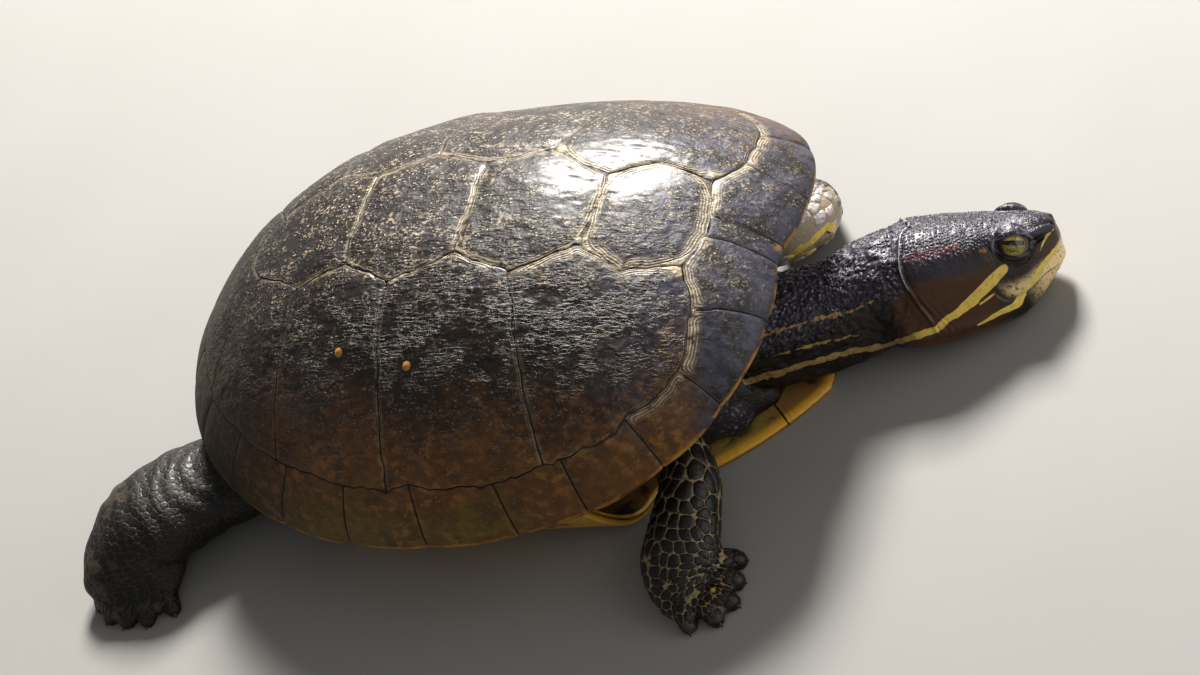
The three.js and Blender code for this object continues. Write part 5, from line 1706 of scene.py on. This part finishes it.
def add_scales(name, surface, plan, length, radius_at, rings, sides, height, keep, gap=SCALE_GAP):
    """Scales as one mesh on the hide, each a stack of rings with a point on top and one below. The
    plan is their shares along, turns round and sizes, and surface(share, turn) the smooth skin."""
    share, turn, size = plan
    reach, angles = scale_cells(share, turn, size, length, radius_at, sides, gap)
    radius = radius_at(share)[:, None]
    rims = []
    for out, _ in rings:
        rim_share = share[:, None] + out * reach * np.cos(angles) / length
        rim_turn = turn[:, None] + out * reach * np.sin(angles) / radius
        rims.append(surface(np.clip(rim_share, 0, 1), rim_turn))
    middle = surface(share, turn)[:, None]
    start = np.concatenate([*rims, middle], 1)
    laid = lay_on_hide(start)
    spread = unit(np.cross(laid[:, 0] - laid[:, -1], laid[:, sides // 4] - laid[:, -1]))
    hub = surface(share, turn + np.pi)
    spread *= np.sign(np.sum(spread * (middle[:, 0] - hub), axis=-1, keepdims=True))
    wide = apart(laid[:, :sides], laid[:, -1:])
    good = (apart(laid, start).max(1) < FURTHEST_MOVE) & (laid[..., 2].min(1) > LOWEST)
    good &= (wide.min(1) > NARROWEST) & (wide.max(1) < size) & keep(laid[:, -1])
    tall = (height * size)[:, None]
    tall = tall * (1 + 0.2 * noise(laid[:, -1], 2.1, 71))[:, None]
    levels = [np.repeat(tall * high, sides, 1) for _, high in rings]
    rise = np.concatenate([*levels, tall], 1)
    solid = laid + spread[:, None, :] * rise[..., None]
    foot = laid[:, -1:] - spread[:, None, :] * (tall * FOOT_SHARE)[..., None]
    solid = np.concatenate([solid, foot], 1)[good]
    per = solid.shape[1]
    ring = np.arange(sides)
    after = np.roll(ring, -1)
    hub_at = len(rings) * sides
    walls = np.stack([ring, after, after + sides, ring + sides], -1)
    quads = [walls + k * sides for k in range(len(rings) - 1)]
    top = np.stack([ring + hub_at - sides, after + hub_at - sides, np.full(sides, hub_at)], -1)
    base = np.stack([after, ring, np.full(sides, hub_at + 1)], -1)
    shift = (np.arange(len(solid)) * per)[:, None, None]
    quads = (np.concatenate(quads)[None] + shift).reshape(-1, 4)
    fans = (np.concatenate([top, base])[None] + shift).reshape(-1, 3)
    mesh = make_mesh(name, solid.reshape(-1, 3), quads, fans)
    outs = np.concatenate([*[np.full(sides, out) for out, _ in rings], [0.0, 1.0]])
    circle = np.stack([np.cos(angles), np.sin(angles)], -1)
    local = np.concatenate([*[out * circle for out, _ in rings], np.zeros((2, 2))])
    root = np.stack([(turn[good] / (2 * np.pi)) % 1, share[good]], -1)[:, None] * 0.98 + 0.01
    places = (root + local[None] * PATCH_SIZE / 2).reshape(-1, 2)
    corners = np.empty(len(mesh.loops), np.int32)
    mesh.loops.foreach_get("vertex_index", corners)
    mesh.uv_layers.new(name="OFBake").data.foreach_set("uv", places[corners].astype(np.float32).ravel())
    centres = np.repeat(laid[good][:, -1], per, 0)
    put_fields(mesh, rim=np.tile(outs, len(solid)), **markings(mix(solid.reshape(-1, 3), centres, 0.25)))
    add_piece(name, mesh, SCALES, "skin")


def outside_shell(points):
    """Places that the shell doesn't hide: outside the trunk's wall."""
    x, y = points[:, 0] / (SHELL_LENGTH / 2), points[:, 1] / (SHELL_WIDTH / 2)
    return np.hypot(x, y) > SHELL_SHARE


def scale_limb(name, stations, sizes, height, crowd=0.0, front=0.0, seed=1):
    """Scales down one limb, from outside the shell to its end."""
    shares = np.linspace(0, 1, 60)
    line = tube_surface(stations, shares[:, None], np.array([[0.0, np.pi]])).mean(1)
    length = np.linalg.norm(np.diff(line, axis=0), axis=-1).sum()
    rows = tube_frame(stations, shares)[0]
    mean_radius = (rows[:, 3] + rows[:, 4]) / 2

    def radius_at(share):
        """Mean radius of the limb there."""
        return np.interp(share, shares, mean_radius)

    def surface(share, turn):
        """The limb's smooth skin."""
        return tube_surface(stations, share, turn)

    plan = scale_rows(length, radius_at, sizes, crowd, front, seed)
    add_scales(name, surface, plan, length, radius_at, SCALE_RINGS, SCALE_SIDES, height, outside_shell)


SCALES = skin_finish("horny_scales", True)
# Widths at the start, the middle and the end, height as a share of the width, then how much they crowd
# and the turn round which they stand closest.
TOE_SCALES = (2.1, 2.3, 2.0), 0.1
TAIL_SCALES = (2.6, 2.4, 1.4), 0.07
LIMB_SCALES = {
    "front_right": ((5.4, 5.4, 2.5), 0.07, 0.3, 1.2),
    "front_left": ((3.3, 3.3, 2.4), 0.14, 0.3, 1.2),
    "hind_right": ((3.0, 2.6, 2.6), 0.025, 0.0, 0),
    "hind_left": ((3.0, 2.6, 2.6), 0.025, 0.0, 0),
}
for seed, (place, (sizes, height, crowd, front)) in enumerate(LIMB_SCALES.items()):
    stations, toes = LEGS[place]
    scale_limb(f"scales_{place}", stations, sizes, height, crowd, front, 81 + 10 * seed)
    for k, toe in enumerate(toes):
        scale_limb(f"scales_{place}_toe_{k + 1}", toe_stations(*toe)[1:], *TOE_SCALES, seed=91 + k)
scale_limb("scales_tail", TAIL_STATIONS, *TAIL_SCALES, seed=131)


def spine_granules(name, start, end, low, high, sizes, height, seed, gap):
    """Granules on the upper side of head or neck, between two turns round the spine."""
    length = float(end - start)

    def surface(share, turn):
        """The smooth skin of head and neck."""
        return spine_surface(start + share * length, turn)

    def radius_at(share):
        """Half width of head or neck there."""
        row = smooth_through(np.sqrt(SPINE[:, 0]), SPINE[:, 1:], np.sqrt(start + share * length))
        return row[..., 3]

    def clear_of_eyes(points):
        """Places beyond the lids."""
        return from_eyes(points) > EYE_CLEARANCE

    plan = scale_rows(length, radius_at, sizes, seed=seed, jitter=GRANULE_JITTER)
    bent = np.degrees(plan[1]) % 360
    plan = [part[(bent > low) & (bent < high)] for part in plan]
    add_scales(name, surface, plan, length, radius_at, GRANULE_RINGS, GRANULE_SIDES, height,
               clear_of_eyes, gap)


# Start and end along the spine, the turns between which they lie, widths at both ends, height as a
# share of the width, seed and gap.
spine_granules("granules_crown", 5, 44, 38, 142, (0.9, 1.3), 0.12, 141, 0.05)
spine_granules("granules_neck", 46, 100, 12, 168, (1.5, 2.1), 0.1, 151, 0.1)

# --- Claws ---
# Five on each foot: curved cones of dark horn that taper from the toe's end down to the floor.

CLAW_LENGTH = 3.2
CLAW_RISE = 0.9
CLAW_SINK = 0.4
CLAW_THICKNESS = 0.58
CLAW_NARROWING = 0.93
CLAW_FLATNESS = 0.75
CLAW_STEPS = 18
CLAW_SIDES = 14
CLAW_DARK = srgb(38, 30, 24)
CLAW_LIGHT = srgb(96, 78, 52)


def claw_finish():
    """Dark horn, streaked lengthways and lighter at the root."""
    claw = Finish("claw_horn")
    streak = claw.grain(0.5, 3.0)
    claw.start(claw.step(claw.read("out"), 0.55, 0.1), CLAW_DARK, CLAW_LIGHT)
    claw.lay(claw.step(streak, 0.5, 0.7), CLAW_DARK)
    return claw.finish(0.22 + streak * 0.2, Normal=claw.bump(streak, 0.05))


CLAW_HORN = claw_finish()


def claw_rings(tip_x, tip_y, root_x, root_y, half):
    """Rings of one claw: an oval that narrows as (1 - t)^0.7 along an arc down to the floor."""
    forward = unit(np.array([tip_x - root_x, tip_y - root_y, 0.0]))
    side = np.array([-forward[1], forward[0], 0])
    up = np.array([0, 0, 1.0])
    t = np.linspace(0, 1, CLAW_STEPS)[:, None, None]
    turn = (np.arange(CLAW_SIDES) * 2 * np.pi / CLAW_SIDES)[None, :, None]
    start = np.array([tip_x, tip_y, half * 0.62]) - forward * 0.4
    arc = up * (CLAW_RISE * t * (1 - t) * 2 - half * CLAW_SINK * t**2)
    line = start + forward * CLAW_LENGTH * t + arc
    thick = half * CLAW_THICKNESS * (1 - CLAW_NARROWING * t) ** 0.7
    rings = line + side * thick * CLAW_FLATNESS * np.cos(turn) + up * thick * np.sin(turn)
    return rings, t[..., 0] + 0 * turn[..., 0]


for place, (_, toes) in LEGS.items():
    parts, quads, fans, outs, start = [], [], [], [], 0
    for root_x, root_y, tip_x, tip_y, half in toes:
        rings, out = claw_rings(tip_x, tip_y, root_x, root_y, half)
        points, sides, ends = capped_tube(rings)
        parts.append(points)
        quads.append(sides + start)
        fans.append(ends + start)
        outs.append(np.concatenate([out.ravel(), [0, 1]]))
        start += len(points)
    points = np.concatenate(parts)
    points[:, 2] = np.maximum(points[:, 2], 0.1)
    mesh = make_mesh(f"claws_{place}", points, np.concatenate(quads), np.concatenate(fans))
    put_fields(mesh, out=np.concatenate(outs))
    add_piece(f"claws_{place}", mesh, CLAW_HORN, "claw")

# --- Floor, light and camera ---
# A plain pale floor under a soft studio sky, with a broad lamp high on the animal's left, a fainter
# one beside the camera and one low ahead of the animal.

CAMERA_BACK = (0.51740718, -0.56036047, 0.64675031)
CAMERA_RIGHT = (0.85412699, 0.29180055, -0.43048753)
CAMERA_UP = (0.0525061, 0.77514423, 0.6295987)
CAMERA_DISTANCE = 1500
PIXELS_PER_MM = 3.365
FRAME_WIDTH = 1200
LAMP_TARGET = [0, 0, 40.0]
SENSOR_WIDTH = 36
ORIGIN_LEFT = 51.8
ORIGIN_DOWN = 53.6
FLOOR_REACH = 4000
FLOOR_ROUGHNESS = 0.7
VIEW_REACH = 20
SKY_GREY = (0.9, 0.9, 0.9, 1)
SKY_STRENGTH = 0.19
FLOOR_DULL = srgb(146, 144, 139)
FLOOR_LIGHT = srgb(152, 150, 146)


def add_floor():
    """One square of dull stone, level with the animal's under side."""
    corners = [[-1, -1, 0], [1, -1, 0], [1, 1, 0], [-1, 1, 0]]
    mesh = make_mesh("floor", np.array(corners) * FLOOR_REACH, np.array([[0, 1, 2, 3]]))
    stone = Finish("pale_floor")
    stone.start(stone.grain(60, 4.0), FLOOR_DULL, FLOOR_LIGHT)
    mesh.materials.append(stone.finish(FLOOR_ROUGHNESS))
    floor = add_object("floor", mesh)


def stand(item, side, up, away, place):
    """Turns a lamp or camera to look against a direction, and moves it to a place in millimetres."""
    matrix = np.eye(4)
    matrix[:3, :3] = np.stack([side, up, away], -1)
    matrix[:3, 3] = place * MM
    item.matrix_world = Matrix(matrix.tolist())


def add_lamp(name, place, size, power, colour):
    """An area lamp at a place in millimetres that faces the middle of the shell."""
    light = bpy.data.lights.new(name, "AREA")
    light.size = size * MM
    light.energy = power
    light.color = colour
    away = unit(np.array(place, float) - LAMP_TARGET)
    side = unit(np.cross([0, 0.02, 1], away))
    stand(add_object(name, light), side, np.cross(away, side), away, np.array(place))


def add_camera():
    """The camera, shifted so that the whole animal is in the frame."""
    data = bpy.data.cameras.new("camera")
    data.sensor_width = SENSOR_WIDTH
    data.lens = PIXELS_PER_MM * CAMERA_DISTANCE * SENSOR_WIDTH / FRAME_WIDTH
    data.shift_x = ORIGIN_LEFT / FRAME_WIDTH
    data.shift_y = ORIGIN_DOWN / FRAME_WIDTH
    data.clip_end = VIEW_REACH
    camera = add_object("camera", data)
    stand(camera, CAMERA_RIGHT, CAMERA_UP, CAMERA_BACK, np.array(CAMERA_BACK) * CAMERA_DISTANCE)
    bpy.context.scene.camera = camera


add_floor()
add_camera()
add_lamp("far_lamp", (-150, 860, 760), 300, 38, (1, 0.97, 0.94))
add_lamp("near_lamp", (700, -900, 900), 900, 1.4, (0.97, 0.98, 1))
add_lamp("front_lamp", (1250, 150, 420), 1200, 7, (1, 1, 1))
sky = bpy.data.worlds.new("sky")
sky.use_nodes = True
background = sky.node_tree.nodes["Background"]
background.inputs["Color"].default_value = SKY_GREY
background.inputs["Strength"].default_value = SKY_STRENGTH
bpy.context.scene.world = sky
bpy.context.scene.view_settings.view_transform = "Standard"
